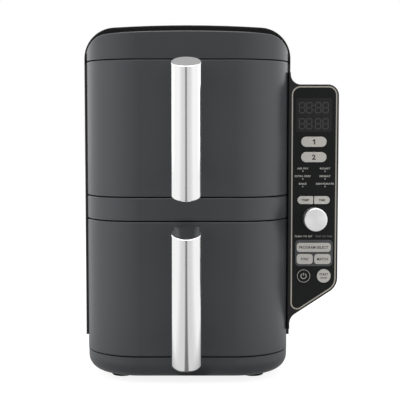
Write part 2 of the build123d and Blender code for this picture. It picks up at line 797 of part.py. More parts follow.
# Temperature probes through the rear walls of the two chambers
with BuildPart() as temperature_probes:
    for z in drawers.values():
        with BuildSketch(liner_plane(liner_rear_y + sheet + leg_tail, z)) as tip:
            with Locations((probe_x, liner_height / 2 - probe_drop)):
                Circle(probe_radius)
        extrude(amount=liner_rear_y + sheet + leg_tail - guard_y - probe_reach)
save(temperature_probes.part, "temperature_probes")

for zone, z in drawers.items():
    # Oven liner: a sheet box, open in front, with a flange, two runners and holes behind
    with BuildPart() as liner:
        with BuildSketch(liner_plane(chamber_y, z)) as outer:
            Rectangle(2 * (liner_half + sheet), liner_height + 2 * sheet)
        extrude(amount=chamber_y - liner_rear_y - sheet)
        with BuildSketch(liner_plane(chamber_y, z)) as flange:
            Rectangle(2 * (liner_half + sheet + liner_flange), liner_height + 2 * (sheet + liner_flange))
        extrude(amount=-sheet)
        with BuildSketch(liner_plane(chamber_y, z)) as inner:
            Rectangle(2 * liner_half, liner_height)
        extrude(amount=chamber_y - liner_rear_y, mode=Mode.SUBTRACT)
        with BuildSketch(liner_plane(chamber_y, z)) as runners:
            with Locations((0, -liner_height / 2)):
                with GridLocations(runner_spread, 0, 2, 1):
                    Rectangle(runner_width, runner_height, align=upward)
        extrude(amount=chamber_y - pan_rear_y)
        with BuildSketch(liner_plane(liner_rear_y + sheet, z)) as holes:
            Circle(shaft_hole)
            with Locations(heater_legs()):
                Circle(heater_tube)
            with Locations((probe_x, liner_height / 2 - probe_drop)):
                Circle(probe_radius)
        extrude(amount=sheet, mode=Mode.SUBTRACT)
    save(liner.part, f"{zone}_liner")

    # Heater: a round tube in an open ring, its two legs through the liner's rear wall
    with BuildPart(liner_plane(heater_y, z)) as heater:
        ring_middle = liner_plane(heater_y, z).origin
        with BuildSketch(ring_start_plane(ring_middle)) as section:
            with Locations((heater_radius, 0)):
                Circle(heater_tube)
        revolve(axis=Axis(ring_middle, (0, -1, 0)), revolution_arc=heater_arc)
        with Locations(heater_legs()):
            Sphere(heater_tube)
            leg = liner_rear_y + sheet + leg_tail - heater_y
            Cylinder(heater_tube, leg, align=backward)
    save(heater.part, f"{zone}_heater")

    # Fan guard: a perforated sheet across the chamber
    with BuildPart() as fan_guard:
        with BuildSketch(liner_plane(guard_y, z)) as sheet_outline:
            Rectangle(2 * (liner_half - guard_fit), liner_height - 2 * guard_fit)
            with BuildSketch(mode=Mode.SUBTRACT) as perforation:
                with HexLocations(guard_pitch, 15, 11):
                    Circle(guard_hole)
        extrude(amount=-guard_sheet)
    save(fan_guard.part, f"{zone}_fan_guard")

    # Convection fan: a disc with radial blades in front of it
    with BuildPart(liner_plane(fan_y + fan_blade, z)) as fan:
        Cylinder(fan_hub, fan_blade, align=forward)
        Cylinder(fan_radius, fan_disc, align=backward)
        with PolarLocations((fan_hub + fan_radius) / 2, fan_blades):
            blade_length = fan_radius - fan_hub + fan_disc
            Box(blade_length, fan_disc, fan_blade, align=forward)
        Hole(shaft_radius)
    save(fan.part, f"{zone}_fan")

    # Fan shaft, from in front of the fan to behind the motor
    with BuildPart(liner_plane(motor_y + motor_plate + motor_length + shaft_tail, z)) as fan_shaft:
        length = motor_y + motor_plate + motor_length + shaft_tail - fan_y + shaft_nose
        Cylinder(shaft_radius, length, align=forward)
    save(fan_shaft.part, f"{zone}_fan_shaft")

    # Cooling fan between the liner and the motor
    with BuildPart(liner_plane(cooling_y + cooling_width, z)) as cooling_fan:
        Cylinder(fan_hub, cooling_width, align=forward)
        Cylinder(cooling_radius, fan_disc, align=forward)
        with PolarLocations((fan_hub + cooling_radius) / 2, cooling_blades):
            blade_length = cooling_radius - fan_hub + fan_disc
            Box(blade_length, fan_disc, cooling_width, align=forward)
        Hole(shaft_radius)
    save(cooling_fan.part, f"{zone}_cooling_fan")

    # Motor: a can on a plate whose three posts stand on the liner's rear wall
    with BuildPart(liner_plane(motor_y, z)) as motor:
        plate_radius = motor_post_circle + motor_post + motor_plate
        Cylinder(plate_radius, motor_plate, align=backward)
        Cylinder(motor_radius, motor_plate + motor_length, align=backward)
        with PolarLocations(motor_post_circle, 3, start_angle=90):
            post_length = motor_y - liner_rear_y - sheet
            Cylinder(motor_post, post_length, align=forward)
        Hole(shaft_radius + shaft_gap)
    save(motor.part, f"{zone}_motor")

    # Drawer front: a hollow cap, open behind
    with BuildPart() as drawer_front:
        extrude(front_plan(z), amount=drawer_height)
        fillet(drawer_front.edges().filter_by(GeomType.CIRCLE), edge_round)
        extrude(front_plan(z + skin, skin), amount=drawer_height - 2 * skin, mode=Mode.SUBTRACT)
    save(drawer_front.part, f"{zone}_drawer_front")

    # Carrier: a tray in the back of the drawer front that holds the pan
    with BuildPart() as carrier:
        extrude(front_plan(z + skin, skin), amount=drawer_height - 2 * skin)
        with Locations((body_x, front_y, z + drawer_height / 2)):
            Box(
                body_width,
                wrap_depth - carrier_depth,
                drawer_height,
                align=(Align.CENTER, Align.MIN, Align.CENTER),
                mode=Mode.SUBTRACT,
            )
            Box(
                2 * (pan_half + pan_rim),
                wrap_depth - carrier_wall,
                drawer_height - 2 * (skin + carrier_wall),
                align=(Align.CENTER, Align.MIN, Align.CENTER),
                mode=Mode.SUBTRACT,
            )
    save(carrier.part, f"{zone}_drawer_carrier")

    # Pan: a deep tray with round corners, a rim and air slots in its rear wall
    pan_z = z + pan_lift
    pan_middle = (wrap_y + pan_rear_y) / 2
    with BuildPart() as pan:
        with BuildSketch(Plane((body_x, pan_middle, pan_z))) as tray:
            RectangleRounded(2 * pan_half, pan_length, pan_corner)
        extrude(amount=pan_height)
        fillet(pan.edges().group_by(Axis.Z)[0], pan_round)
        offset(amount=-pan_wall, openings=pan.faces().sort_by(Axis.Z)[-1])
        with BuildSketch(Plane((body_x, pan_middle, pan_z + pan_height - pan_wall))) as rim:
            RectangleRounded(2 * (pan_half + pan_rim), pan_length, pan_corner)
            inner_width = 2 * (pan_half - pan_wall)
            inner_length = pan_length - 2 * pan_wall
            RectangleRounded(inner_width, inner_length, pan_corner - pan_wall, mode=Mode.SUBTRACT)
        extrude(amount=pan_wall)
        slot_z = pan_z + pan_height - pan_corner - vent_slot_length / 2
        with BuildSketch(front_facing(body_x, pan_rear_y, slot_z)) as slots:
            with GridLocations(vent_slot_pitch, 0, vent_slot_count, 1):
                SlotOverall(vent_slot_length, vent_slot_width, rotation=90)
        extrude(amount=pan_wall, mode=Mode.SUBTRACT)
    save(pan.part, f"{zone}_drawer_pan")

    # Crisper plate: a perforated plate with a turned-down rim
    plate_half = pan_half - pan_wall - plate_gap
    plate_length = pan_length - 2 * (pan_wall + plate_gap)
    plate_round = pan_corner - pan_wall - plate_gap
    plate_z = pan_z + pan_wall + plate_seat
    with BuildPart() as crisper_plate:
        with BuildSketch(Plane((body_x, pan_middle, plate_z))) as outline:
            RectangleRounded(2 * plate_half, plate_length, plate_round)
        extrude(amount=plate_rim)
        with BuildSketch(Plane((body_x, pan_middle, plate_z))) as hollow:
            RectangleRounded(
                2 * (plate_half - plate_thick), plate_length - 2 * plate_thick, plate_round - plate_thick
            )
        extrude(amount=plate_rim - plate_thick, mode=Mode.SUBTRACT)
        columns = int((2 * plate_half - 2 * plate_margin) / plate_pitch)
        rows = int((plate_length - 2 * plate_margin) / plate_pitch)
        with BuildSketch(Plane((body_x, pan_middle, plate_z + plate_rim))) as perforation:
            with GridLocations(plate_pitch, plate_pitch, columns, rows):
                Circle(plate_hole)
        extrude(amount=-plate_thick, mode=Mode.SUBTRACT)
    save(crisper_plate.part, f"{zone}_crisper_plate")

    # Silicone bumpers between the plate's rim and the pan's side walls
    with BuildPart() as plate_bumpers:
        bumper_thick = plate_gap - bumper_gap
        with Locations((body_x, pan_middle, plate_z + bumper_lift + bumper_height / 2)):
            with GridLocations(2 * plate_half + bumper_thick, plate_length / 2, 2, 2):
                Box(bumper_thick, bumper_length, bumper_height)
        fillet(plate_bumpers.edges().filter_by(Axis.Z), bumper_gap)
    save(plate_bumpers.part, f"{zone}_plate_bumpers")

    # Handle: a round metal bar with sloping ends, hollow, entered from behind by two arms
    slope_rise = 2 * bar_radius * tan(radians(bar_slope))
    bar_foot = -bar_low
    bar_head = drawer_height - bar_high
    arm_low = bar_foot + slope_rise + arm_cover
    arm_high = bar_head + slope_rise - arm_cover - arm_height
    with BuildPart() as handle:
        with BuildSketch(Plane((body_x, bar_y, z - slope_rise))) as round_bar:
            Circle(bar_radius)
        extrude(amount=drawer_height + 2 * slope_rise)
        split(bisect_by=bar_plane(z, bar_head), keep=Keep.BOTTOM)
        split(bisect_by=bar_plane(z, bar_foot), keep=Keep.TOP)
        fillet(handle.edges().filter_by(GeomType.ELLIPSE), bar_round)
        with BuildSketch(Plane((body_x, bar_y, z + bar_foot + slope_rise + bar_wall))) as core:
            Circle(bar_radius - bar_wall)
        extrude(amount=bar_head - bar_foot - slope_rise - 2 * bar_wall, mode=Mode.SUBTRACT)
        for arm_z in (arm_low, arm_high):
            with Locations((body_x, bar_y, z + arm_z)):
                Box(
                    arm_width,
                    bar_radius,
                    arm_height,
                    align=(Align.CENTER, Align.MIN, Align.MIN),
                    mode=Mode.SUBTRACT,
                )
    save(handle.part, f"{zone}_handle")

    # Handle mount: a plate on the drawer front with two arms into the bar
    with BuildPart() as handle_mount:
        with Locations((body_x, front_y, z + arm_low)):
            plate_height = arm_high + arm_height - arm_low
            Box(
                foot_plate_width,
                foot_plate_thick,
                plate_height,
                align=(Align.CENTER, Align.MAX, Align.MIN),
            )
        for arm_z in (arm_low, arm_high):
            with Locations((body_x, front_y, z + arm_z)):
                arm_length = front_y - bar_y
                Box(arm_width, arm_length, arm_height, align=(Align.CENTER, Align.MAX, Align.MIN))
    save(handle_mount.part, f"{zone}_handle_mount")
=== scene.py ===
"""Looks of a two-drawer air fryer with a control wing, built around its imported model.

Metres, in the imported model's own frame: the front faces -Y, +X is right and +Z is up.
The sizes of finishes and pieces are millimetres, as on a drawing.
"""

import logging
import math
from dataclasses import dataclass, field
from enum import Enum
from typing import Any, Mapping, Sequence

import bpy
import numpy as np
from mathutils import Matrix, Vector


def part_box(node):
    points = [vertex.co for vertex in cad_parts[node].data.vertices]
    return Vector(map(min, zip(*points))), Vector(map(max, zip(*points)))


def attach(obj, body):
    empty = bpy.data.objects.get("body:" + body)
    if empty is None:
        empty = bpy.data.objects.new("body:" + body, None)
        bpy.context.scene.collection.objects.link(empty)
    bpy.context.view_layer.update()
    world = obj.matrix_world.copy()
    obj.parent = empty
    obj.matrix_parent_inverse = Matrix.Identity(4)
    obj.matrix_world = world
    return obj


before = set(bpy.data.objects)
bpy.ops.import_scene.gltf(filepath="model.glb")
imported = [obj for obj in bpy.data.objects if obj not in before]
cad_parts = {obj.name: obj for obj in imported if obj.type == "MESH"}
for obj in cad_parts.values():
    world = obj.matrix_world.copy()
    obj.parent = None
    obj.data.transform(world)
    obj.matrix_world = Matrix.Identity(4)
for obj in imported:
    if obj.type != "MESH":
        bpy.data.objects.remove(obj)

Tree, Node, Socket = bpy.types.NodeTree, bpy.types.Node, bpy.types.NodeSocket
Colour = tuple[float, float, float, float]
Inputs = Mapping[str | int, Any]
Point = tuple[float, float, float]
Pair = tuple[float, float]

MM = 0.001
IMAGE_SIDE = 400  # pixels
SMOOTH_UNDER = 35.0  # sharpest turn that still shades smooth, in degrees
TYPE_SPANS = 3  # spans in each curve of a letter
# A figure 1 with a flag, about its middle, in its own widths and heights.
FIGURE_ONE = np.array(
    [(0.05, -0.5), (0.5, -0.5), (0.5, 0.5), (0.12, 0.5), (-0.5, 0.26), (-0.5, 0.04), (0.05, 0.2)]
)
WHITE, BLACK = (1.0, 1.0, 1.0, 1.0), (0.0, 0.0, 0.0, 1.0)
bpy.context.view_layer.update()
log = logging.getLogger("air_fryer")


class Zone(Enum):
    """The two cooking zones, one above the other."""

    UPPER = "upper"
    LOWER = "lower"


class Lay(Enum):
    """Which way the fine lines of a worked metal run."""

    LEVEL = "level"
    UPRIGHT = "upright"
    FRONT_TO_BACK = "front to back"


# Nodes and meshes


def linear(colour: str, share: float = 1.0) -> Colour:
    """Turns an sRGB hex colour to linear: c / 12.92 when dark, else ((c + 0.055) / 1.055) ^ 2.4.

    Args:
        colour: six hex digits after a #.
        share: what the linear parts are multiplied by.
    Returns:
        Red, green, blue and an alpha of 1.
    """
    parts = np.array([int(colour[i : i + 2], 16) for i in (1, 3, 5)]) / 255
    curved = ((parts + 0.055) / 1.055) ** 2.4
    red, green, blue = (np.where(parts <= 0.04045, parts / 12.92, curved) * share).tolist()
    return red, green, blue, 1.0


def add_node(tree: Tree, kind: str, inputs: Inputs | None = None, **settings: Any) -> Node:
    """Adds one shader node with its settings, its constant inputs and its links.

    Args:
        tree: node tree of a material or of the world.
        kind: node type after ShaderNode.
        inputs: by socket name or number, an output to link or a constant to set.
        settings: properties of the node.
    Returns:
        The new node.
    """
    node = tree.nodes.new("ShaderNode" + kind)
    for name, value in settings.items():
        setattr(node, name, value)
    for socket, value in (inputs or {}).items():
        if isinstance(value, Socket):
            tree.links.new(value, node.inputs[socket])
        else:
            node.inputs[socket].default_value = value
    return node


def quads(
    rows: int, columns: int, round_rows: bool = False, round_columns: bool = False
) -> np.ndarray:
    """Corner numbers of the faces between the points of a rows x columns grid.

    Face (i, j) has the corners (i, j), (i, j+1), (i+1, j+1) and (i+1, j), and a round
    direction runs on from its last line to its first.

    Args:
        rows: lines of points.
        columns: points in a line.
        round_rows: the last line joins the first.
        round_columns: each line's last point joins its first.
    Returns:
        Array of faces x 4 point numbers.
    """
    i, j = np.meshgrid(
        np.arange(rows if round_rows else rows - 1),
        np.arange(columns if round_columns else columns - 1),
        indexing="ij",
    )
    below, beside = (i + 1) % rows, (j + 1) % columns
    this, after = i * columns, below * columns
    return np.stack([this + j, this + beside, after + beside, after + j], axis=-1).reshape(-1, 4)


@dataclass
class Shape:
    """Points and faces of one surface, or of several that are put together."""

    points: np.ndarray
    faces: list[np.ndarray]

    @staticmethod
    def joined(shapes: Sequence["Shape"]) -> "Shape":
        """Puts shapes together, each one's point numbers moved up by the points before it.

        Args:
            shapes: one or more.
        Returns:
            One shape with all their points and faces.
        """
        starts = np.cumsum([0] + [len(s.points) for s in shapes[:-1]])
        faces = [f + start for s, start in zip(shapes, starts) for f in s.faces]
        return Shape(np.concatenate([s.points for s in shapes]), faces)

    def mesh(self, name: str) -> bpy.types.Mesh:
        """Makes the mesh, shaded smooth but for its sharp edges.

        Args:
            name: name of the mesh.
        Returns:
            The mesh, checked; its faces look out as their corners' order says.
        """
        mesh = bpy.data.meshes.new(name)
        faces = [face for block in self.faces for face in block.tolist()]
        mesh.from_pydata(self.points.tolist(), [], faces)
        mesh.validate()
        mesh.shade_smooth()
        mesh.set_sharp_from_angle(angle=math.radians(SMOOTH_UNDER))
        return mesh


def swept(path: np.ndarray, profile: np.ndarray, closed: bool) -> Shape:
    """Carries a closed profile along a flat path.

    Point (i, j) is path[i] + side[i] * profile[j, 0] + out * profile[j, 1], where side is
    the path's direction turned a quarter to the left and out is the third direction.

    Args:
        path: points x 2, across and up.
        profile: points x 2, sideways and outwards, anticlockwise along the path.
        closed: the path's end joins its start.
    Returns:
        Shape in panel coordinates: across, up and out.
    """
    if closed:
        along = np.roll(path, -1, axis=0) - np.roll(path, 1, axis=0)
    else:
        along = np.gradient(path, axis=0)
    along /= np.linalg.norm(along, axis=1, keepdims=True)
    side = np.stack([-along[:, 1], along[:, 0]], axis=1)
    flat = path[:, None, :] + side[:, None, :] * profile[None, :, :1]
    out = np.broadcast_to(profile[None, :, 1:], flat.shape[:2] + (1,))
    points = np.concatenate([flat, out], axis=2).reshape(-1, 3)
    rows, columns = len(path), len(profile)
    faces = [quads(rows, columns, closed, True)]
    if not closed:
        faces.append(np.arange(columns)[None, ::-1])
        faces.append(np.arange(columns)[None, :] + (rows - 1) * columns)
    return Shape(points, faces)


def prism(outline: np.ndarray, low: float, high: float) -> Shape:
    """Closed plate between two copies of an anticlockwise outline.

    Args:
        outline: points x 2, across and up.
        low: outward place of the back face.
        high: outward place of the front face.
    Returns:
        Shape in panel coordinates.
    """
    count = len(outline)
    back = np.column_stack([outline, np.full(count, low)])
    front = np.column_stack([outline, np.full(count, high)])
    caps = [np.arange(count)[None, ::-1], np.arange(count)[None, :] + count]
    return Shape(np.concatenate([back, front]), [quads(2, count, round_columns=True), *caps])


def rounded_box(width: float, height: float, radius: float, steps: int = 8) -> np.ndarray:
    """Outline of a rectangle with round corners, anticlockwise from the lower right.

    Each corner is radius * (cos a, sin a) about a centre one radius in from both sides.

    Args:
        width: across.
        height: up.
        radius: of the corners.
        steps: spans in each corner.
    Returns:
        Points x 2 about the middle.
    """
    angle = np.radians(np.linspace(0, 90, steps + 1))
    starts = np.radians([-90, 0, 90, 180])
    signs = np.array([[1, -1], [1, 1], [-1, 1], [-1, -1]])
    centres = signs * (np.array([width, height]) / 2 - radius)
    turn = starts[:, None] + angle
    arcs = np.stack([np.cos(turn), np.sin(turn)], axis=-1) * radius
    return (centres[:, None, :] + arcs).reshape(-1, 2)


def ring_path(radius: float, start: float, end: float, steps: int) -> np.ndarray:
    """Arc radius * (cos a, sin a) from one angle to another, in degrees.

    Args:
        radius: of the arc.
        start: first angle.
        end: last angle.
        steps: spans along it.
    Returns:
        Points x 2.
    """
    angle = np.radians(np.linspace(start, end, steps + 1))
    return radius * np.column_stack([np.cos(angle), np.sin(angle)])


def flat_mesh(curve: bpy.types.Curve) -> Shape:
    """Reads the filled mesh of a flat curve or a word, and removes the curve.

    Args:
        curve: curve data in its own plane.
    Returns:
        Shape with the curve's points and triangles.
    """
    holder = bpy.data.objects.new("flat_curve", curve)
    mesh = bpy.data.meshes.new_from_object(holder)
    mesh.calc_loop_triangles()
    points = np.empty(len(mesh.vertices) * 3, np.float32)
    mesh.vertices.foreach_get("co", points)
    faces = np.empty(len(mesh.loop_triangles) * 3, np.int32)
    mesh.loop_triangles.foreach_get("vertices", faces)
    bpy.data.objects.remove(holder)
    bpy.data.curves.remove(curve)
    bpy.data.meshes.remove(mesh)
    return Shape(points.reshape(-1, 3).astype(float), [faces.reshape(-1, 3)])


def lettering(text: str, width: float, height: float, thick: float, bold: float) -> Shape:
    """A bold word in Blender's own type, stretched to a size and centred, in panel coordinates.

    Args:
        text: capital letters or figures.
        width: of the whole word.
        height: of a capital letter.
        thick: of the print.
        bold: what is added round the strokes.
    Returns:
        Shape whose front is at thick / 2.
    """
    curve = bpy.data.curves.new("word", "FONT")
    curve.body = text
    curve.resolution_u = TYPE_SPANS
    curve.offset = bold / height
    curve.extrude = 0.1  # any thickness will do here, as the word is stretched below
    word = flat_mesh(curve)
    low, high = word.points.min(axis=0), word.points.max(axis=0)
    word.points = (word.points - (low + high) / 2) / (high - low) * [width, height, thick]
    return word


def on_front(shape: Shape, x: float, y: float, z: float) -> Shape:
    """Stands a panel shape upright, facing the front, and turns it from millimetres to metres.

    Across goes to X, up to Z and out to -Y.

    Args:
        shape: in panel coordinates, millimetres.
        x: place of the panel's origin across, millimetres.
        y: its place front to back.
        z: its height.
    Returns:
        Shape in the frame, metres.
    """
    across, up, out = shape.points.T
    return Shape(np.column_stack([x + across, y - out, z + up]) * MM, shape.faces)


# Finishes


@dataclass(frozen=True)
class Nodes:
    """Nodes of a new material. Sizes are millimetres, and a pattern is a value from 0 to 1."""

    tree: Tree
    shader: Node
    place: Socket  # Object coordinates, metres

    def add(self, kind: str, inputs: Inputs, **settings: Any) -> Node:
        """Adds one node to the material, as add_node does."""
        return add_node(self.tree, kind, inputs, **settings)

    def set(self, name: str, value: Any) -> None:
        """Sets one of the shader's inputs to a constant."""
        self.shader.inputs[name].default_value = value

    def link(self, output: Socket, name: str) -> None:
        """Links an output to one of the shader's inputs."""
        self.tree.links.new(output, self.shader.inputs[name])

    def noise(self, size: float, detail: float) -> Socket:
        """Gives a soft pattern with patches of a size and a number of finer layers."""
        inputs = {"Vector": self.place, "Scale": 1 / (size * MM), "Detail": detail}
        return self.add("TexNoise", inputs).outputs[0]

    def cells(self, size: float, scatter: float = 1.0, **settings: Any) -> Node:
        """Gives cells of a size, in a square grid at a scatter of 0 and at random at 1."""
        inputs = {"Vector": self.place, "Scale": 1 / (size * MM), "Randomness": scatter}
        return self.add("TexVoronoi", inputs, **settings)

    def blend(self, pattern: Socket, first: Colour, last: Colour) -> None:
        """Lets a pattern turn the shader's colour from the first to the last."""
        mix = self.add("Mix", {0: pattern, 6: first, 7: last}, data_type="RGBA")
        self.link(mix.outputs[2], "Base Color")

    def bump(self, pattern: Socket, depth: float) -> None:
        """Turns a pattern into bump of a depth."""
        bump = self.add("Bump", {"Height": pattern, "Distance": depth * MM, "Strength": 1.0})
        self.link(bump.outputs[0], "Normal")


@dataclass(frozen=True)
class Finish:
    """What every finish has: a name, a colour, a roughness and a shine. Millimetres."""

    name: str
    colour: str
    roughness: float
    shine: float = 0.5  # specular level of the shader

    def material(self) -> bpy.types.Material:
        """Gives the finish's material, made at the first call.

        Returns:
            A material whose patterns read Object coordinates.
        """
        made = bpy.data.materials.get(self.name)
        if made is None:
            made = bpy.data.materials.new(self.name)
            made.use_nodes = True
            tree = made.node_tree
            place = add_node(tree, "TexCoord").outputs["Object"]
            nodes = Nodes(tree, tree.nodes["Principled BSDF"], place)
            nodes.set("Base Color", linear(self.colour))
            nodes.set("Roughness", self.roughness)
            nodes.set("Specular IOR Level", self.shine)
            self.shade(nodes)
        return made

    def shade(self, nodes: Nodes) -> None:
        """Adds the finish's own nodes."""
        raise NotImplementedError

    def vary(
        self, nodes: Nodes, pattern: Socket, colour_spread: float, rough_spread: float
    ) -> None:
        """Lets a pattern change the colour and the roughness about their means.

        Args:
            nodes: of the material.
            pattern: value from 0 to 1.
            colour_spread: share by which the colour goes up and down.
            rough_spread: amount by which the roughness goes up and down.
        """
        dark, light = linear(self.colour, 1 - colour_spread), linear(self.colour, 1 + colour_spread)
        nodes.blend(pattern, dark, light)
        ends = {"To Min": self.roughness - rough_spread, "To Max": self.roughness + rough_spread}
        spread = nodes.add("MapRange", {"Value": pattern, **ends})
        nodes.link(spread.outputs[0], "Roughness")


@dataclass(frozen=True)
class MouldedPlastic(Finish):
    """Injection-moulded plastic from a spark-eroded tool: a fine even grain softens its gloss.

    The real grain of 0.1 mm is too fine to show, so it is drawn about five times as coarse.
    """

    grain: float = 0.5
    grain_depth: float = 0.006
    cloud: float = 60.0  # size of the slow change in colour
    cloud_share: float = 0.05
    rough_spread: float = 0.03

    def shade(self, nodes: Nodes) -> None:
        """Adds slow clouds in colour and gloss, and the grain as bump.

        Args:
            nodes: of the material.
        """
        clouds = nodes.noise(self.cloud, detail=4.0)
        self.vary(nodes, clouds, self.cloud_share, self.rough_spread)
        nodes.bump(nodes.noise(self.grain, detail=2.0), self.grain_depth)


@dataclass(frozen=True)
class PaintedSilver(Finish):
    """Silver paint on moulded keys: small bright flakes in a warm grey binder."""

    flake: float = 0.35
    metal: float = 0.25
    colour_spread: float = 0.06
    rough_spread: float = 0.05

    def shade(self, nodes: Nodes) -> None:
        """Adds flakes, each cell with a brightness of its own.

        Args:
            nodes: of the material.
        """
        nodes.set("Metallic", self.metal)
        flakes = nodes.add("SeparateColor", {0: nodes.cells(self.flake).outputs["Color"]})
        self.vary(nodes, flakes.outputs[0], self.colour_spread, self.rough_spread)


@dataclass(frozen=True)
class WorkedMetal(Finish):
    """Brushed, drawn or rolled metal: long fine scratches along one direction.

    The scratches of 0.05 mm are drawn at the given width, so that they show.
    """

    lay: Lay = Lay.LEVEL
    scratch: float = 0.3
    scratch_length: float = 40.0
    spread: float = 0.05  # of colour and roughness alike
    stretch: float = 0.0  # anisotropy of the gloss
    depth: float = 0.002

    def shade(self, nodes: Nodes) -> None:
        """Adds a noise that is long along the lay and narrow across it.

        Args:
            nodes: of the material.
        """
        nodes.set("Metallic", 1.0)
        nodes.set("Anisotropic", self.stretch)
        fine, long = 1 / (self.scratch * MM), 1 / (self.scratch_length * MM)
        scale = {
            Lay.LEVEL: (long, long, fine),
            Lay.UPRIGHT: (fine, fine, long),
            Lay.FRONT_TO_BACK: (fine, long, fine),
        }[self.lay]
        lines = nodes.add("Mapping", {"Vector": nodes.place, "Scale": scale}).outputs[0]
        inputs = {"Vector": lines, "Scale": 1.0, "Detail": 3.0}
        scratches = nodes.add("TexNoise", inputs).outputs[0]
        self.vary(nodes, scratches, self.spread, self.spread)
        nodes.bump(scratches, self.depth)
        if self.stretch:
            normal = nodes.add("NewGeometry", {}).outputs["Normal"]
            pair = {0: normal, 1: (0.0, 0.0, 1.0)}
            level = nodes.add("VectorMath", pair, operation="CROSS_PRODUCT")
            nodes.link(level.outputs[0], "Tangent")


@dataclass(frozen=True)
class SpunMetal(Finish):
    """Lathe-turned aluminium: fine rings round an axis that runs front to back."""

    middle: Pair = (0.0, 0.0)  # X and Z of the axis
    ring: float = 0.35
    stretch: float = 0.6  # anisotropy of the gloss
    spread: float = 0.05  # of colour and roughness alike
    depth: float = 0.002

    def shade(self, nodes: Nodes) -> None:
        """Adds rings by the distance from the axis, and gloss stretched across them.

        Args:
            nodes: of the material.
        """
        nodes.set("Metallic", 1.0)
        nodes.set("Anisotropic", self.stretch)
        across, up = self.middle
        offset = {0: nodes.place, 1: (-across * MM, 0.0, -up * MM)}
        centred = nodes.add("VectorMath", offset).outputs[0]
        disc = {0: centred, 1: (1.0, 0.0, 1.0)}
        flat = nodes.add("VectorMath", disc, operation="MULTIPLY").outputs[0]
        reach = nodes.add("VectorMath", {0: flat}, operation="LENGTH").outputs["Value"]
        inputs = {"W": reach, "Scale": 1 / (self.ring * MM), "Detail": 3.0}
        rings = nodes.add("TexNoise", inputs, noise_dimensions="1D").outputs[0]
        self.vary(nodes, rings, self.spread, self.spread)
        nodes.bump(rings, self.depth)
        pair = {0: (0.0, 1.0, 0.0), 1: flat}
        around = nodes.add("VectorMath", pair, operation="CROSS_PRODUCT").outputs[0]
        spaces = {"vector_type": "VECTOR", "convert_from": "OBJECT", "convert_to": "WORLD"}
        nodes.link(nodes.add("VectorTransform", {0: around}, **spaces).outputs[0], "Tangent")


@dataclass(frozen=True)
class GalvanisedSheet(Finish):
    """Hot-dipped zinc on steel: flat crystals a few millimetres wide, each with its own gloss."""

    crystal: float = 7.0
    colour_spread: float = 0.14
    rough_spread: float = 0.09

    def shade(self, nodes: Nodes) -> None:
        """Adds crystals that differ in brightness and roughness.

        Args:
            nodes: of the material.
        """
        nodes.set("Metallic", 1.0)
        crystals = nodes.add("SeparateColor", {0: nodes.cells(self.crystal).outputs["Color"]})
        self.vary(nodes, crystals.outputs[0], self.colour_spread, self.rough_spread)


@dataclass(frozen=True)
class SpeckledCoating(Finish):
    """Sprayed ceramic non-stick coat: dark grey with a fine orange peel and pale specks."""

    speck: float = 2.2
    speck_colour: str = "#7a7a78"
    speck_core: float = 0.10  # full cover up to this share of a cell
    speck_edge: float = 0.16  # and none from here on
    speck_cover: float = 0.5
    peel: float = 1.2
    peel_depth: float = 0.012

    def shade(self, nodes: Nodes) -> None:
        """Adds specks at the middles of cells, and the peel as bump.

        Args:
            nodes: of the material.
        """
        away = nodes.cells(self.speck).outputs["Distance"]
        edge = {"From Min": self.speck_core, "From Max": self.speck_edge}
        cover = {"To Min": self.speck_cover, "To Max": 0.0}
        specks = nodes.add("MapRange", {"Value": away, **edge, **cover}).outputs[0]
        nodes.blend(specks, linear(self.colour), linear(self.speck_colour))
        nodes.bump(nodes.noise(self.peel, detail=2.0), self.peel_depth)


@dataclass(frozen=True)
class HeatTinted(Finish):
    """Metal that has run hot: brown and blue-grey oxide in slow patches."""

    tint: str = "#4a3a30"
    patch: float = 12.0
    metal: float = 0.8
    depth: float = 0.01

    def shade(self, nodes: Nodes) -> None:
        """Adds patches from the metal's colour to the tint.

        Args:
            nodes: of the material.
        """
        nodes.set("Metallic", self.metal)
        patches = nodes.noise(self.patch, detail=5.0)
        nodes.blend(patches, linear(self.colour), linear(self.tint))
        nodes.bump(patches, self.depth)


@dataclass(frozen=True)
class SolderMask(Finish):
    """Glass-epoxy board under green lacquer: copper tracks show as paler lines."""

    track: float = 3.0
    track_colour: str = "#2f7a48"
    track_start: float = 0.38  # share of a cell where a track's edge starts to rise
    track_full: float = 0.44
    track_height: float = 0.03
    scatter: float = 0.7

    def shade(self, nodes: Nodes) -> None:
        """Adds tracks along the edges of square-ish cells.

        Args:
            nodes: of the material.
        """
        cells = nodes.cells(self.track, self.scatter, distance="CHEBYCHEV")
        edge = {"From Min": self.track_start, "From Max": self.track_full}
        tracks = nodes.add("MapRange", {"Value": cells.outputs["Distance"], **edge}).outputs[0]
        nodes.blend(tracks, linear(self.colour), linear(self.track_colour))
        nodes.bump(tracks, self.track_height)


@dataclass(frozen=True)
class ScreenPrint(Finish):
    """Screen-printed ink: slightly uneven cover over the mesh of the screen."""

    thread: float = 0.4
    colour_spread: float = 0.06
    rough_spread: float = 0.05

    def shade(self, nodes: Nodes) -> None:
        """Adds the unevenness of the ink."""
        cover = nodes.noise(self.thread, detail=2.0)
        self.vary(nodes, cover, self.colour_spread, self.rough_spread)


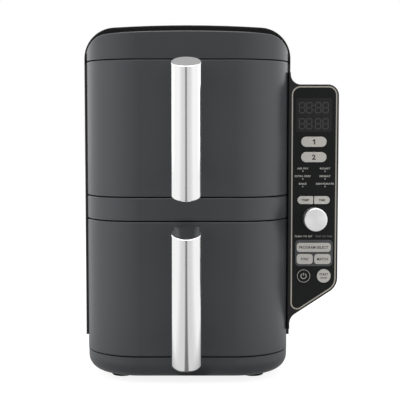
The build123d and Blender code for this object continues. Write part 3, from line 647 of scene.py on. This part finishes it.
GREY_SHELL = MouldedPlastic("satin_grey_abs", "#36383b", 0.38, 0.6)
GREY_CAP = MouldedPlastic("satin_grey_abs_cap", "#353739", 0.38, 0.5)
BLACK_SHELL = MouldedPlastic("fine_grain_black_abs", "#181818", 0.55, 0.12)
SIDE_SHELL = MouldedPlastic("satin_black_abs", "#252525", 0.5, 0.2)
INNER_BLACK = MouldedPlastic("matt_black_pbt", "#0b0b0b", 0.65, 0.12)
BLACK_LENS = MouldedPlastic("satin_black_acrylic", "#191a1a", 0.3, 0.15, 0.8, 0.001)
SMOKED_WINDOW = MouldedPlastic("smoked_acrylic", "#272627", 0.2, 0.2, 0.8, 0.001)
# Painted light: the handle mounts are coloured a lighter grey than the front so that their shaded
# undersides, mirrored in the handle ends, look lit.
LIGHTENED_MOUNT_GREY = MouldedPlastic("satin_grey_polyamide_lightened", "#727477", 0.45, 0.4)
KEY_BED = MouldedPlastic("grey_key_bed_abs", "#4e5052", 0.45, 0.3)
GLOSS_BLACK = MouldedPlastic("black_polycarbonate", "#121212", 0.3, 0.2, 0.8, 0.001)
RUBBER = MouldedPlastic("black_nitrile_rubber", "#0e0e0e", 0.8, 0.1, 0.8, 0.02)
SILICONE = MouldedPlastic("dark_silicone_rubber", "#2a2a2b", 0.55, 0.35, 1.0, 0.01)
SILVER_KEY = PaintedSilver("silver_painted_polycarbonate", "#c6c3bd", 0.45, 0.4)
STAINLESS = WorkedMetal("satin_stainless_steel", "#e6e6e6", 0.12, stretch=0.5, spread=0.03)
CHAMPAGNE = WorkedMetal("satin_champagne_aluminium", "#bab5ab", 0.45, lay=Lay.UPRIGHT, scratch=0.4)
GROUND_STEEL = WorkedMetal("ground_steel", "#a8a8a8", 0.32, lay=Lay.FRONT_TO_BACK)
STAMPED_ALUMINIUM = WorkedMetal("stamped_aluminium", "#c6c7c9", 0.35, lay=Lay.UPRIGHT, scratch=0.6)
PLATED_CAN = GalvanisedSheet("zinc_plated_can", "#8f8f90", 0.4, crystal=1.5)
ZINC_SHEET = GalvanisedSheet("galvanised_steel", "#a2a3a5", 0.38)
HEATER_SHEATH = HeatTinted("oxidised_heater_sheath", "#4b4c50", 0.45)
NON_STICK = SpeckledCoating("ceramic_non_stick", "#2b2b2c", 0.38)
BOARD_GREEN = SolderMask("green_solder_mask", "#1c5a31", 0.4)
PALE_INK = ScreenPrint("pale_screen_ink", "#b4b3ae", 0.6, 0.2)
DARK_INK = ScreenPrint("dark_grey_screen_ink", "#2c2c2e", 0.6, 0.2)
DIM_INK = ScreenPrint("dim_grey_screen_ink", "#6a6a68", 0.6, 0.2)
UNLIT_SEGMENT = ScreenPrint("unlit_led_segment", "#464546", 0.4, 0.2)
LAMP_LENS = ScreenPrint("frosted_led_lens", "#a5a5a3", 0.4, 0.4)


# Pieces


class Assembly:
    """A sub-assembly of the fryer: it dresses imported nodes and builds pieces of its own."""

    def build(self) -> None:
        """Makes the sub-assembly's own pieces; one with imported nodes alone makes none."""

    def dress(self) -> None:
        """Gives the sub-assembly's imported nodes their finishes."""
        raise NotImplementedError

    @staticmethod
    def finish_nodes(finish: Finish, *nodes: str) -> None:
        """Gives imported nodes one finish.

        Args:
            finish: what they are made of.
            nodes: their names.
        """
        for node in nodes:
            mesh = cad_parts[node].data
            mesh.materials.clear()
            mesh.materials.append(finish.material())
            log.info("%s: %s", node, finish.name)

    @staticmethod
    def place(name: str, shape: Shape, finish: Finish, body: str, slot: str) -> None:
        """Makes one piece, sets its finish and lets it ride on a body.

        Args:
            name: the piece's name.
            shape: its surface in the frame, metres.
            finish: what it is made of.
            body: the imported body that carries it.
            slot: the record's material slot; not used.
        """
        piece = bpy.data.objects.new(name, shape.mesh(name))
        piece.data.materials.append(finish.material())
        bpy.context.scene.collection.objects.link(piece)
        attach(piece, body)
        log.info("%s: %s, %d points", name, finish.name, len(shape.points))


@dataclass
class Housing(Assembly):
    """Outer shells, the wall behind the drawers, feet and rear fittings."""

    def dress(self) -> None:
        """Grey front pieces, black case pieces, rubber and screws."""
        self.finish_nodes(GREY_CAP, "top_fascia")
        self.finish_nodes(GREY_SHELL, "mid_fascia", "base_pan")
        self.finish_nodes(BLACK_SHELL, "top_cover")
        self.finish_nodes(SIDE_SHELL, "left_side_panel", "right_side_panel")
        self.finish_nodes(SIDE_SHELL, "rear_cover", "wing_back")
        self.finish_nodes(INNER_BLACK, "front_bulkhead")
        self.finish_nodes(RUBBER, "rubber_feet", "cord_gland")
        self.finish_nodes(GROUND_STEEL, "case_screws")


@dataclass
class Drawer(Assembly):
    """One drawer: its front, handle, pan and crisper plate."""

    zone: Zone

    def dress(self) -> None:
        """Grey front, steel handle, coated pan and plate, silicone bumpers."""
        level = self.zone.value
        self.finish_nodes(GREY_SHELL, f"{level}_drawer_front")
        # the mounts' grey is lightened to stand in for light under the handles
        self.finish_nodes(LIGHTENED_MOUNT_GREY, f"{level}_handle_mount")
        self.finish_nodes(STAINLESS, f"{level}_handle")
        self.finish_nodes(INNER_BLACK, f"{level}_drawer_carrier")
        self.finish_nodes(NON_STICK, f"{level}_drawer_pan", f"{level}_crisper_plate")
        self.finish_nodes(SILICONE, f"{level}_plate_bumpers")


@dataclass
class Oven(Assembly):
    """One zone's chamber with its heater, fans and motor."""

    zone: Zone

    def dress(self) -> None:
        """Zinc sheet, oxidised heater, aluminium fans and a plated motor."""
        level = self.zone.value
        self.finish_nodes(ZINC_SHEET, f"{level}_liner", f"{level}_fan_guard")
        self.finish_nodes(HEATER_SHEATH, f"{level}_heater")
        self.finish_nodes(STAMPED_ALUMINIUM, f"{level}_fan", f"{level}_cooling_fan")
        self.finish_nodes(GROUND_STEEL, f"{level}_fan_shaft")
        self.finish_nodes(PLATED_CAN, f"{level}_motor")


@dataclass
class Electrics(Assembly):
    """Boards, switches and probes inside the case."""

    def dress(self) -> None:
        """Green boards, dark switches, steel probes and encoder."""
        self.finish_nodes(BOARD_GREEN, "power_board", "control_board")
        self.finish_nodes(INNER_BLACK, "drawer_switches", "display_module")
        self.finish_nodes(HEATER_SHEATH, "temperature_probes")
        self.finish_nodes(GROUND_STEEL, "encoder", "dial_shaft")


@dataclass(frozen=True)
class Legend:
    """A printed word: its text, width and height of its capitals, its place and its weight."""

    text: str
    width: float
    height: float
    across: float = 0.0
    up: float = 0.0
    bold: float = 0.055  # added round the strokes

    def shape(self, thick: float) -> Shape:
        """Gives the print about its own middle; a figure 1 has its own outline.

        Args:
            thick: of the print.
        Returns:
            Shape in panel coordinates whose front is at thick / 2.
        """
        if self.text == "1":
            return prism(FIGURE_ONE * [self.width, self.height], -thick / 2, thick / 2)
        return lettering(self.text, self.width, self.height, thick, self.bold)


@dataclass
class ControlWing(Assembly):
    """Lens, trim, display, keys and dial, with what is printed on them. Millimetres."""

    print_thick: float = 0.08
    legends: dict[str, tuple[Legend, ...]] = field(
        default_factory=lambda: {
            "zone_one": (Legend("1", 2.8, 5.6),),
            "zone_two": (Legend("2", 4.2, 5.6, bold=0.16),),
            "temperature": (Legend("TEMP", 8.2, 2.5),),
            "time": (Legend("TIME", 7.2, 2.5),),
            "program": (Legend("PROGRAM SELECT", 32.0, 2.9),),
            "sync": (Legend("SYNC", 8.6, 2.9),),
            "match": (Legend("MATCH", 12.0, 2.9),),
            "start": (Legend("START", 9.6, 2.6, up=1.9), Legend("STOP", 7.0, 2.2, up=-2.2)),
        }
    )
    modes: tuple[Legend, ...] = (
        Legend("AIR FRY", 12.6, 2.0, 99.85, 230.3),
        Legend("ROAST", 11.2, 2.0, 124.15, 230.3),
        Legend("EXTRA CRISP", 17.6, 2.0, 99.85, 221.9),
        Legend("REHEAT", 12.0, 2.0, 124.15, 221.9),
        Legend("BAKE", 8.4, 2.0, 99.85, 213.6),
        Legend("DEHYDRATE", 19.6, 2.0, 124.15, 213.6),
    )
    dial_words: tuple[Legend, ...] = (
        Legend("TURN TO SET", 20.0, 1.9, 101.0, 155.8),
        Legend("TEMP OR TIME", 19.0, 1.9, 123.0, 155.8),
    )
    lamp_drop: float = 3.0  # a lamp's middle under its word's
    lamp_radius: float = 0.75
    lamp_height: float = 0.35
    lamp_slope: float = 75.0  # degrees of the dome before its flat top
    lamp_grid: tuple[int, int] = (5, 16)  # points up the dome and round it
    digit_starts: tuple[float, ...] = (95.05, 102.85, 112.55, 120.65)
    digit_rows: tuple[float, ...] = (296.4, 278.95)
    digit_size: Pair = (7.0, 12.2)
    segment: float = 1.2
    segment_gap: float = 0.25
    colon_x: float = 111.2
    colon_rise: float = 2.6  # a dot over or under the row's middle
    dot: float = 1.3
    bed_keys: tuple[str, ...] = ("program", "sync", "match")
    bed_middle: Pair = (112.6, 137.4)
    bed_size: Pair = (40.6, 28.6)
    bed_round: float = 4.2
    bed_thick: float = 0.45
    bed_edge: float = 0.25
    bed_edge_spans: int = 2
    bed_clear: float = 0.1
    bed_hole_round: float = 4.1
    power_ring: float = 6.9  # radius of the printed rim
    power_line: float = 0.55
    power_stroke: float = 0.85
    power_radius: float = 2.9
    power_gap: float = 62.0  # degrees left open in the sign
    power_stem: Pair = (0.6, 3.4)  # heights of the bar's two ends
    rim_spans: int = 96
    sign_spans: int = 40

    def dress(self) -> None:
        """Black lens, warm trim, smoked window, painted keys and a spun dial."""
        self.finish_nodes(BLACK_LENS, "control_lens")
        self.finish_nodes(CHAMPAGNE, "lens_trim")
        self.finish_nodes(SMOKED_WINDOW, "display_window")
        self.finish_nodes(SILVER_KEY, *(f"{key}_button" for key in self.legends))
        self.finish_nodes(GLOSS_BLACK, "power_button")
        x, _, z = self.face("dial_knob")
        self.finish_nodes(SpunMetal("spun_aluminium", "#f4f4f4", 0.58, middle=(x, z)), "dial_knob")

    def face(self, node: str) -> Point:
        """Middle of a node's front, in millimetres."""
        low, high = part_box(node)
        return (low.x + high.x) / 2 / MM, low.y / MM, (low.z + high.z) / 2 / MM

    def build(self) -> None:
        """Makes the print on keys and lens, the lamps, the display's segments and the key bed."""
        for key in self.legends:
            self.key_print(key)
        self.power_print()
        self.lens_print()
        self.mode_lamps()
        self.segments()
        self.key_bed()

    def bar(self, width: float) -> np.ndarray:
        """Profile of a printed line: a flat rectangle, half sunk in what it is printed on."""
        half, thick = width / 2, self.print_thick / 2
        return np.array([[-half, -thick], [half, -thick], [half, thick], [-half, thick]])[::-1]

    def key_print(self, key: str) -> None:
        """Prints one key's words.

        Args:
            key: name of the key.
        """
        x, y, z = self.face(f"{key}_button")
        thick, words = self.print_thick, self.legends[key]
        shapes = [on_front(w.shape(thick), x + w.across, y, z + w.up) for w in words]
        self.place(f"{key}_print", Shape.joined(shapes), DARK_INK, f"{key}_key", "key_silver")

    def power_print(self) -> None:
        """Prints the ring and the stand-by sign, an open circle with a bar at its gap."""
        x, y, z = self.face("power_button")
        gap = self.power_gap / 2
        sign = ring_path(self.power_radius, 90 + gap, 450 - gap, self.sign_spans)
        stem = np.column_stack([np.zeros(3), np.linspace(*self.power_stem, 3)])
        rim = ring_path(self.power_ring, 0, 360, self.rim_spans)[:-1]
        shapes = [
            swept(rim, self.bar(self.power_line), True),
            swept(sign, self.bar(self.power_stroke), False),
            swept(stem, self.bar(self.power_stroke), False),
        ]
        shape = on_front(Shape.joined(shapes), x, y, z)
        self.place("power_print", shape, PALE_INK, "power_key", "key_silver")

    def lens_print(self) -> None:
        """Prints the six modes on the lens, and the two words under the dial."""
        _, y, _ = self.face("control_lens")
        prints = {
            "mode_print": (PALE_INK, self.modes),
            "dial_print": (PALE_INK, self.dial_words[:1]),
            "dial_note": (DIM_INK, self.dial_words[1:]),
        }
        for name, (ink, words) in prints.items():
            shapes = [on_front(w.shape(self.print_thick), w.across, y, w.up) for w in words]
            self.place(name, Shape.joined(shapes), ink, "housing", "key_silver")

    def mode_lamps(self) -> None:
        """Sets a small lamp under each mode, a low dome with a flat top.

        Point (v, u) is (r cos v cos u, r cos v sin u, h sin v), with v from 0 to the slope's end.
        """
        _, y, _ = self.face("control_lens")
        rows, around = self.lamp_grid
        rise = np.radians(np.linspace(0, self.lamp_slope, rows))[:, None]
        angle = np.radians(np.linspace(0, 360, around, endpoint=False))[None, :]
        reach = self.lamp_radius * np.cos(rise)
        height = self.lamp_height * np.sin(rise) + 0 * angle
        dome = np.stack([reach * np.cos(angle), reach * np.sin(angle), height], axis=-1)
        rim = np.arange(around)[None, :]
        caps = [rim[:, ::-1], rim + around * (rows - 1)]
        lamp = Shape(dome.reshape(-1, 3), [quads(rows, around, round_columns=True), *caps])
        lamps = [on_front(lamp, w.across, y, w.up - self.lamp_drop) for w in self.modes]
        self.place("mode_lamps", Shape.joined(lamps), LAMP_LENS, "housing", "key_silver")

    def segment_outline(self, length: float) -> np.ndarray:
        """Outline of a level segment, a bar with pointed ends, from the joint at its left.

        With h half its width and g the gap at a joint, its upper points are (g, 0), (g + h, h),
        (l - g - h, h) and (l - g, 0), and its lower ones mirror them.

        Args:
            length: from joint to joint.
        Returns:
            Points x 2, anticlockwise.
        """
        half, gap = self.segment / 2, self.segment_gap
        ends = np.array([gap, gap + half, length - gap - half, length - gap])
        rise = np.array([0, half, half, 0])
        top = np.column_stack([ends, rise])
        low = np.column_stack([ends[2:0:-1], -rise[2:0:-1]])
        return np.concatenate([top, low])[::-1]

    def segments(self) -> None:
        """Lays out the display's unlit segments: two rows of four figures, and a colon."""
        _, y, _ = self.face("display_window")
        width, height = self.digit_size
        half, thick = self.segment / 2, self.print_thick / 2
        span, upright = width - self.segment, (height - self.segment) / 2
        flat = self.segment_outline(span)
        tall = self.segment_outline(upright)[:, ::-1][::-1]
        places = [(flat, half, half + i * upright) for i in range(3)]
        places += [(tall, half + j * span, half + i * upright) for i in range(2) for j in range(2)]
        shapes = [
            on_front(prism(outline + [across, up], -thick, thick), start, y, row - height / 2)
            for row in self.digit_rows
            for start in self.digit_starts
            for outline, across, up in places
        ]
        dot = prism(rounded_box(self.dot, self.dot, self.dot / 3, steps=3), -thick, thick)
        for up in (-self.colon_rise, self.colon_rise):
            shapes.append(on_front(dot, self.colon_x, y, self.digit_rows[0] + up))
        figures = Shape.joined(shapes)
        self.place("display_segments", figures, UNLIT_SEGMENT, "housing", "window_smoke")

    def key_bed(self) -> None:
        """Makes the raised grey bed round the lower keys: a flat curve with a hole for each."""
        curve = bpy.data.curves.new("key_bed", "CURVE")
        curve.dimensions = "2D"
        curve.fill_mode = "BOTH"
        curve.extrude = (self.bed_thick - self.bed_edge) / 2
        curve.bevel_depth = self.bed_edge
        curve.bevel_resolution = self.bed_edge_spans
        across, up = self.bed_middle
        outlines = [rounded_box(*self.bed_size, self.bed_round)]
        for key in self.bed_keys:
            low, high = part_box(f"{key}_button")
            x, _, z = self.face(f"{key}_button")
            wide = (high.x - low.x) / MM + 2 * self.bed_clear
            tall = (high.z - low.z) / MM + 2 * self.bed_clear
            hole = rounded_box(wide, tall, self.bed_hole_round)
            outlines.append(hole + [x - across, z - up])
        for outline in outlines:
            spline = curve.splines.new("POLY")
            spline.points.add(len(outline) - 1)
            flat = np.column_stack([outline, np.zeros(len(outline)), np.ones(len(outline))])
            spline.points.foreach_set("co", flat.ravel())
            spline.use_cyclic_u = True
        _, y, _ = self.face("control_lens")
        bed = on_front(flat_mesh(curve), across, y, up)
        self.place("key_bed", bed, KEY_BED, "housing", "grey_plastic")


@dataclass(frozen=True)
class SoftBox:
    """One studio lamp: name, place, width and height in metres, and power in watts."""

    name: str
    place: Point
    size: Pair
    power: float


@dataclass
class Studio:
    """Plain pale floor, soft boxes left, right and overhead, and the camera. Metres.

    What gloss sees depends on the direction from the object. Each level has a span: where a
    smooth step to it starts and ends, on the axis that its comment names.
    """

    eye: Point = (-0.0125, -1.2282, 0.2762)
    pitch: float = 4.168  # degrees down
    focal: float = 1010.5  # pixels of the frame
    sensor: float = 36.0  # millimetres
    floor_side: float = 12.0
    floor_lines: int = 9
    floor_grey: str = "#c8c8c8"  # paper that throws light back on the object
    shadow_grey: str = "#a8a8a8"  # and as the camera sees it
    floor_roughness: float = 0.9
    floor_glow: float = 0.85  # what the floor adds to its own light, to the camera
    # painted shadow: gloss sees the floor darker close to the object, over the span below
    floor_painted_shadow: float = 0.4  # share of the room's level that gloss sees, close to the object
    floor_far: float = 0.97  # and further off
    floor_painted_shadow_fade: Pair = (0.17, 0.35)  # from near to far, metres from the middle
    stand_x: float = -0.02  # where the camera's stand is in the floor's reflection
    ambient: float = 0.62  # what all but gloss and the camera sees
    front_level: float = 0.84  # what gloss sees round the camera
    side_level: float = 1.17  # and at the sides
    front_span: Pair = (-0.97, -0.55)  # Y, from front to side
    stand_level: float = 0.25  # share left by the camera's own stand
    stand_span: Pair = (0.07, 0.14)  # X either way, from the stand to the room
    stand_end: Pair = (-0.9, -0.75)  # Y over which the stand ends
    back_level: float = 1.6  # times the sides, straight behind
    back_span: Pair = (0.0, 0.8)  # Y
    roof_level: float = 3.8  # times that, overhead
    roof_span: Pair = (0.8, 0.95)  # Z
    back_share: float = 0.27  # what is left of it high up behind
    high_back_span: Pair = (1.1, 1.3)  # Y + Z
    aim: Point = (0.0, 0.0, 0.2)  # what the lamps point at
    boxes: tuple[SoftBox, ...] = (
        SoftBox("left_box", (-1.7, -0.6, 0.6), (1.2, 1.5), 15.0),
        SoftBox("right_box", (1.7, -0.6, 0.6), (1.2, 1.5), 12.0),
        SoftBox("top_box", (-0.1, -0.4, 1.7), (1.6, 1.2), 10.0),
    )

    def build(self) -> None:
        """Sets the view, the world, the floor, the lamps and the camera."""
        bpy.context.scene.view_settings.view_transform = "Standard"
        self.world()
        self.floor()
        for box in self.boxes:
            self.hang(box)
        self.camera()

    @staticmethod
    def step(tree: Tree, value: Socket, span: Pair, low: float, high: float) -> Socket:
        """Adds a smooth step from one level to another.

        Args:
            tree: nodes of the world or the floor.
            value: what the step goes over.
            span: where it starts and ends.
            low: level before it.
            high: level after it.
        Returns:
            The level.
        """
        inputs = {"Value": value, "From Min": span[0], "From Max": span[1]}
        inputs |= {"To Min": low, "To Max": high}
        return add_node(tree, "MapRange", inputs, interpolation_type="SMOOTHSTEP").outputs[0]

    @staticmethod
    def product(tree: Tree, *factors: Socket) -> Socket:
        """Multiplies values.

        Args:
            tree: nodes of the world or the floor.
            factors: two or more values.
        Returns:
            Their product.
        """
        total = factors[0]
        for factor in factors[1:]:
            total = add_node(tree, "Math", {0: total, 1: factor}, operation="MULTIPLY").outputs[0]
        return total

    @staticmethod
    def mirrored(tree: Tree, ray: Node) -> Socket:
        """Gives 1 for what gloss or clear plastic sees, by the Light Path node."""
        rays = {0: ray.outputs["Is Glossy Ray"], 1: ray.outputs["Is Transmission Ray"]}
        return add_node(tree, "Math", rays, operation="MAXIMUM").outputs[0]

    def front_room(self, tree: Tree, toward: Socket) -> Socket:
        """What gloss sees in front and at the sides, with a narrow dark strip at X = 0.

        Args:
            tree: nodes of the world or the floor.
            toward: direction from the object.
        Returns:
            The level there.
        """
        axes = add_node(tree, "SeparateXYZ", {0: toward}).outputs
        sides = self.step(tree, axes["Y"], self.front_span, self.front_level, self.side_level)
        aside = add_node(tree, "Math", {0: axes["X"]}, operation="ABSOLUTE").outputs[0]
        upright = self.step(tree, aside, self.stand_span, self.stand_level, 1.0)
        ahead = self.step(tree, axes["Y"], self.stand_end, 1.0, 0.0)
        strip = add_node(tree, "Mix", {0: ahead, 2: 1.0, 3: upright}).outputs[0]
        return self.product(tree, sides, strip)

    def world(self) -> None:
        """Makes the room: white to the camera, darker round it to gloss, and else even."""
        world = bpy.data.worlds.new("studio")
        bpy.context.scene.world = world
        world.use_nodes = True
        tree = world.node_tree
        ray = add_node(tree, "LightPath")
        toward = add_node(tree, "TexCoord").outputs["Generated"]
        axes = add_node(tree, "SeparateXYZ", {0: toward}).outputs
        inputs = {0: toward, 1: (0.0, 1.0, 1.0)}
        high_back = add_node(tree, "VectorMath", inputs, operation="DOT_PRODUCT").outputs["Value"]
        room = self.product(
            tree,
            self.front_room(tree, toward),
            self.step(tree, axes["Y"], self.back_span, 1.0, self.back_level),
            self.step(tree, axes["Z"], self.roof_span, 1.0, self.roof_level),
            self.step(tree, high_back, self.high_back_span, 1.0, self.back_share),
        )
        unseen = {0: self.mirrored(tree, ray), 2: self.ambient, 3: room}
        level = add_node(tree, "Mix", unseen).outputs[0]
        seen = add_node(tree, "Mix", {0: ray.outputs["Is Camera Ray"], 2: level, 3: 1.0})
        background = tree.nodes["Background"].inputs
        tree.links.new(seen.outputs[0], background["Strength"])
        background["Color"].default_value = WHITE

    def floor(self) -> None:
        """Makes the floor: a square grid of points (x, y, 0) at even steps."""
        steps = np.linspace(-self.floor_side / 2, self.floor_side / 2, self.floor_lines)
        x, y = np.meshgrid(steps, steps, indexing="xy")
        points = np.stack([x, y, np.zeros_like(x)], axis=-1).reshape(-1, 3)
        mesh = Shape(points, [quads(self.floor_lines, self.floor_lines)]).mesh("studio_floor")
        floor = bpy.data.objects.new("studio_floor", mesh)
        bpy.context.scene.collection.objects.link(floor)
        mesh.materials.append(self.paper())

    def paper(self) -> bpy.types.Material:
        """Makes the floor's paper, white to the camera but for the object's soft shadow.

        To gloss it is as white as the room is in that direction, and a painted shadow makes it
        darker close to the object.

        Returns:
            The material.
        """
        paper = bpy.data.materials.new("white_paper")
        paper.use_nodes = True
        tree = paper.node_tree
        shader = tree.nodes["Principled BSDF"].inputs
        shader["Roughness"].default_value = self.floor_roughness
        shader["Specular IOR Level"].default_value = 0.0
        shader["Emission Color"].default_value = WHITE
        ray = add_node(tree, "LightPath")
        seen, mirrored = ray.outputs["Is Camera Ray"], self.mirrored(tree, ray)
        greys = {6: linear(self.floor_grey), 7: linear(self.shadow_grey)}
        lit = add_node(tree, "Mix", {0: seen, **greys}, data_type="RGBA").outputs[2]
        own = add_node(tree, "Mix", {0: mirrored, 6: lit, 7: BLACK}, data_type="RGBA")
        tree.links.new(own.outputs[2], shader["Base Color"])
        place = add_node(tree, "TexCoord").outputs["Object"]
        centred = add_node(tree, "VectorMath", {0: place, 1: (-self.stand_x, 0.0, 0.0)})
        toward = add_node(tree, "VectorMath", {0: centred.outputs[0]}, operation="NORMALIZE")
        reach = add_node(tree, "VectorMath", {0: place}, operation="LENGTH").outputs["Value"]
        # painted shadow round the object, for what gloss sees of the floor
        painted_shadow_span = {"From Min": self.floor_painted_shadow_fade[0], "From Max": self.floor_painted_shadow_fade[1]}
        levels = {"To Min": self.floor_painted_shadow, "To Max": self.floor_far}
        share = add_node(tree, "MapRange", {"Value": reach, **painted_shadow_span, **levels}).outputs[0]
        gloss = self.product(tree, share, self.front_room(tree, toward.outputs[0]), mirrored)
        glow = add_node(tree, "Mix", {0: seen, 2: gloss, 3: self.floor_glow})
        tree.links.new(glow.outputs[0], shader["Emission Strength"])
        return paper

    def hang(self, box: SoftBox) -> None:
        """Hangs a soft box that points at the object; gloss sees the white room in its place.

        Args:
            box: the lamp.
        """
        lamp = bpy.data.lights.new(box.name, "AREA")
        lamp.shape = "RECTANGLE"
        lamp.size, lamp.size_y = box.size
        lamp.energy = box.power
        holder = bpy.data.objects.new(box.name, lamp)
        holder.location = box.place
        holder.visible_glossy = False
        across, ahead, up = np.subtract(self.aim, box.place)
        tilt = math.atan2(-up, math.hypot(across, ahead))
        holder.rotation_euler = (math.radians(90) - tilt, 0.0, math.atan2(-across, ahead))
        bpy.context.scene.collection.objects.link(holder)

    def camera(self) -> None:
        """Sets the camera at the photograph's place and angle."""
        data = bpy.data.cameras.new("camera")
        data.sensor_width = self.sensor
        data.lens = self.focal / IMAGE_SIDE * self.sensor
        camera = bpy.data.objects.new("camera", data)
        camera.location = self.eye
        camera.rotation_euler = (math.radians(90 - self.pitch), 0.0, 0.0)
        bpy.context.scene.collection.objects.link(camera)
        bpy.context.scene.camera = camera


def main() -> None:
    """Builds and dresses every sub-assembly, then the studio."""
    logging.basicConfig(level=logging.INFO, format="%(name)s %(message)s")
    assemblies: list[Assembly] = [Housing(), Electrics(), ControlWing()]
    for zone in Zone:
        assemblies += [Drawer(zone), Oven(zone)]
    for assembly in assemblies:
        assembly.dress()
        assembly.build()
    Studio().build()


if __name__ == "__main__":
    main()
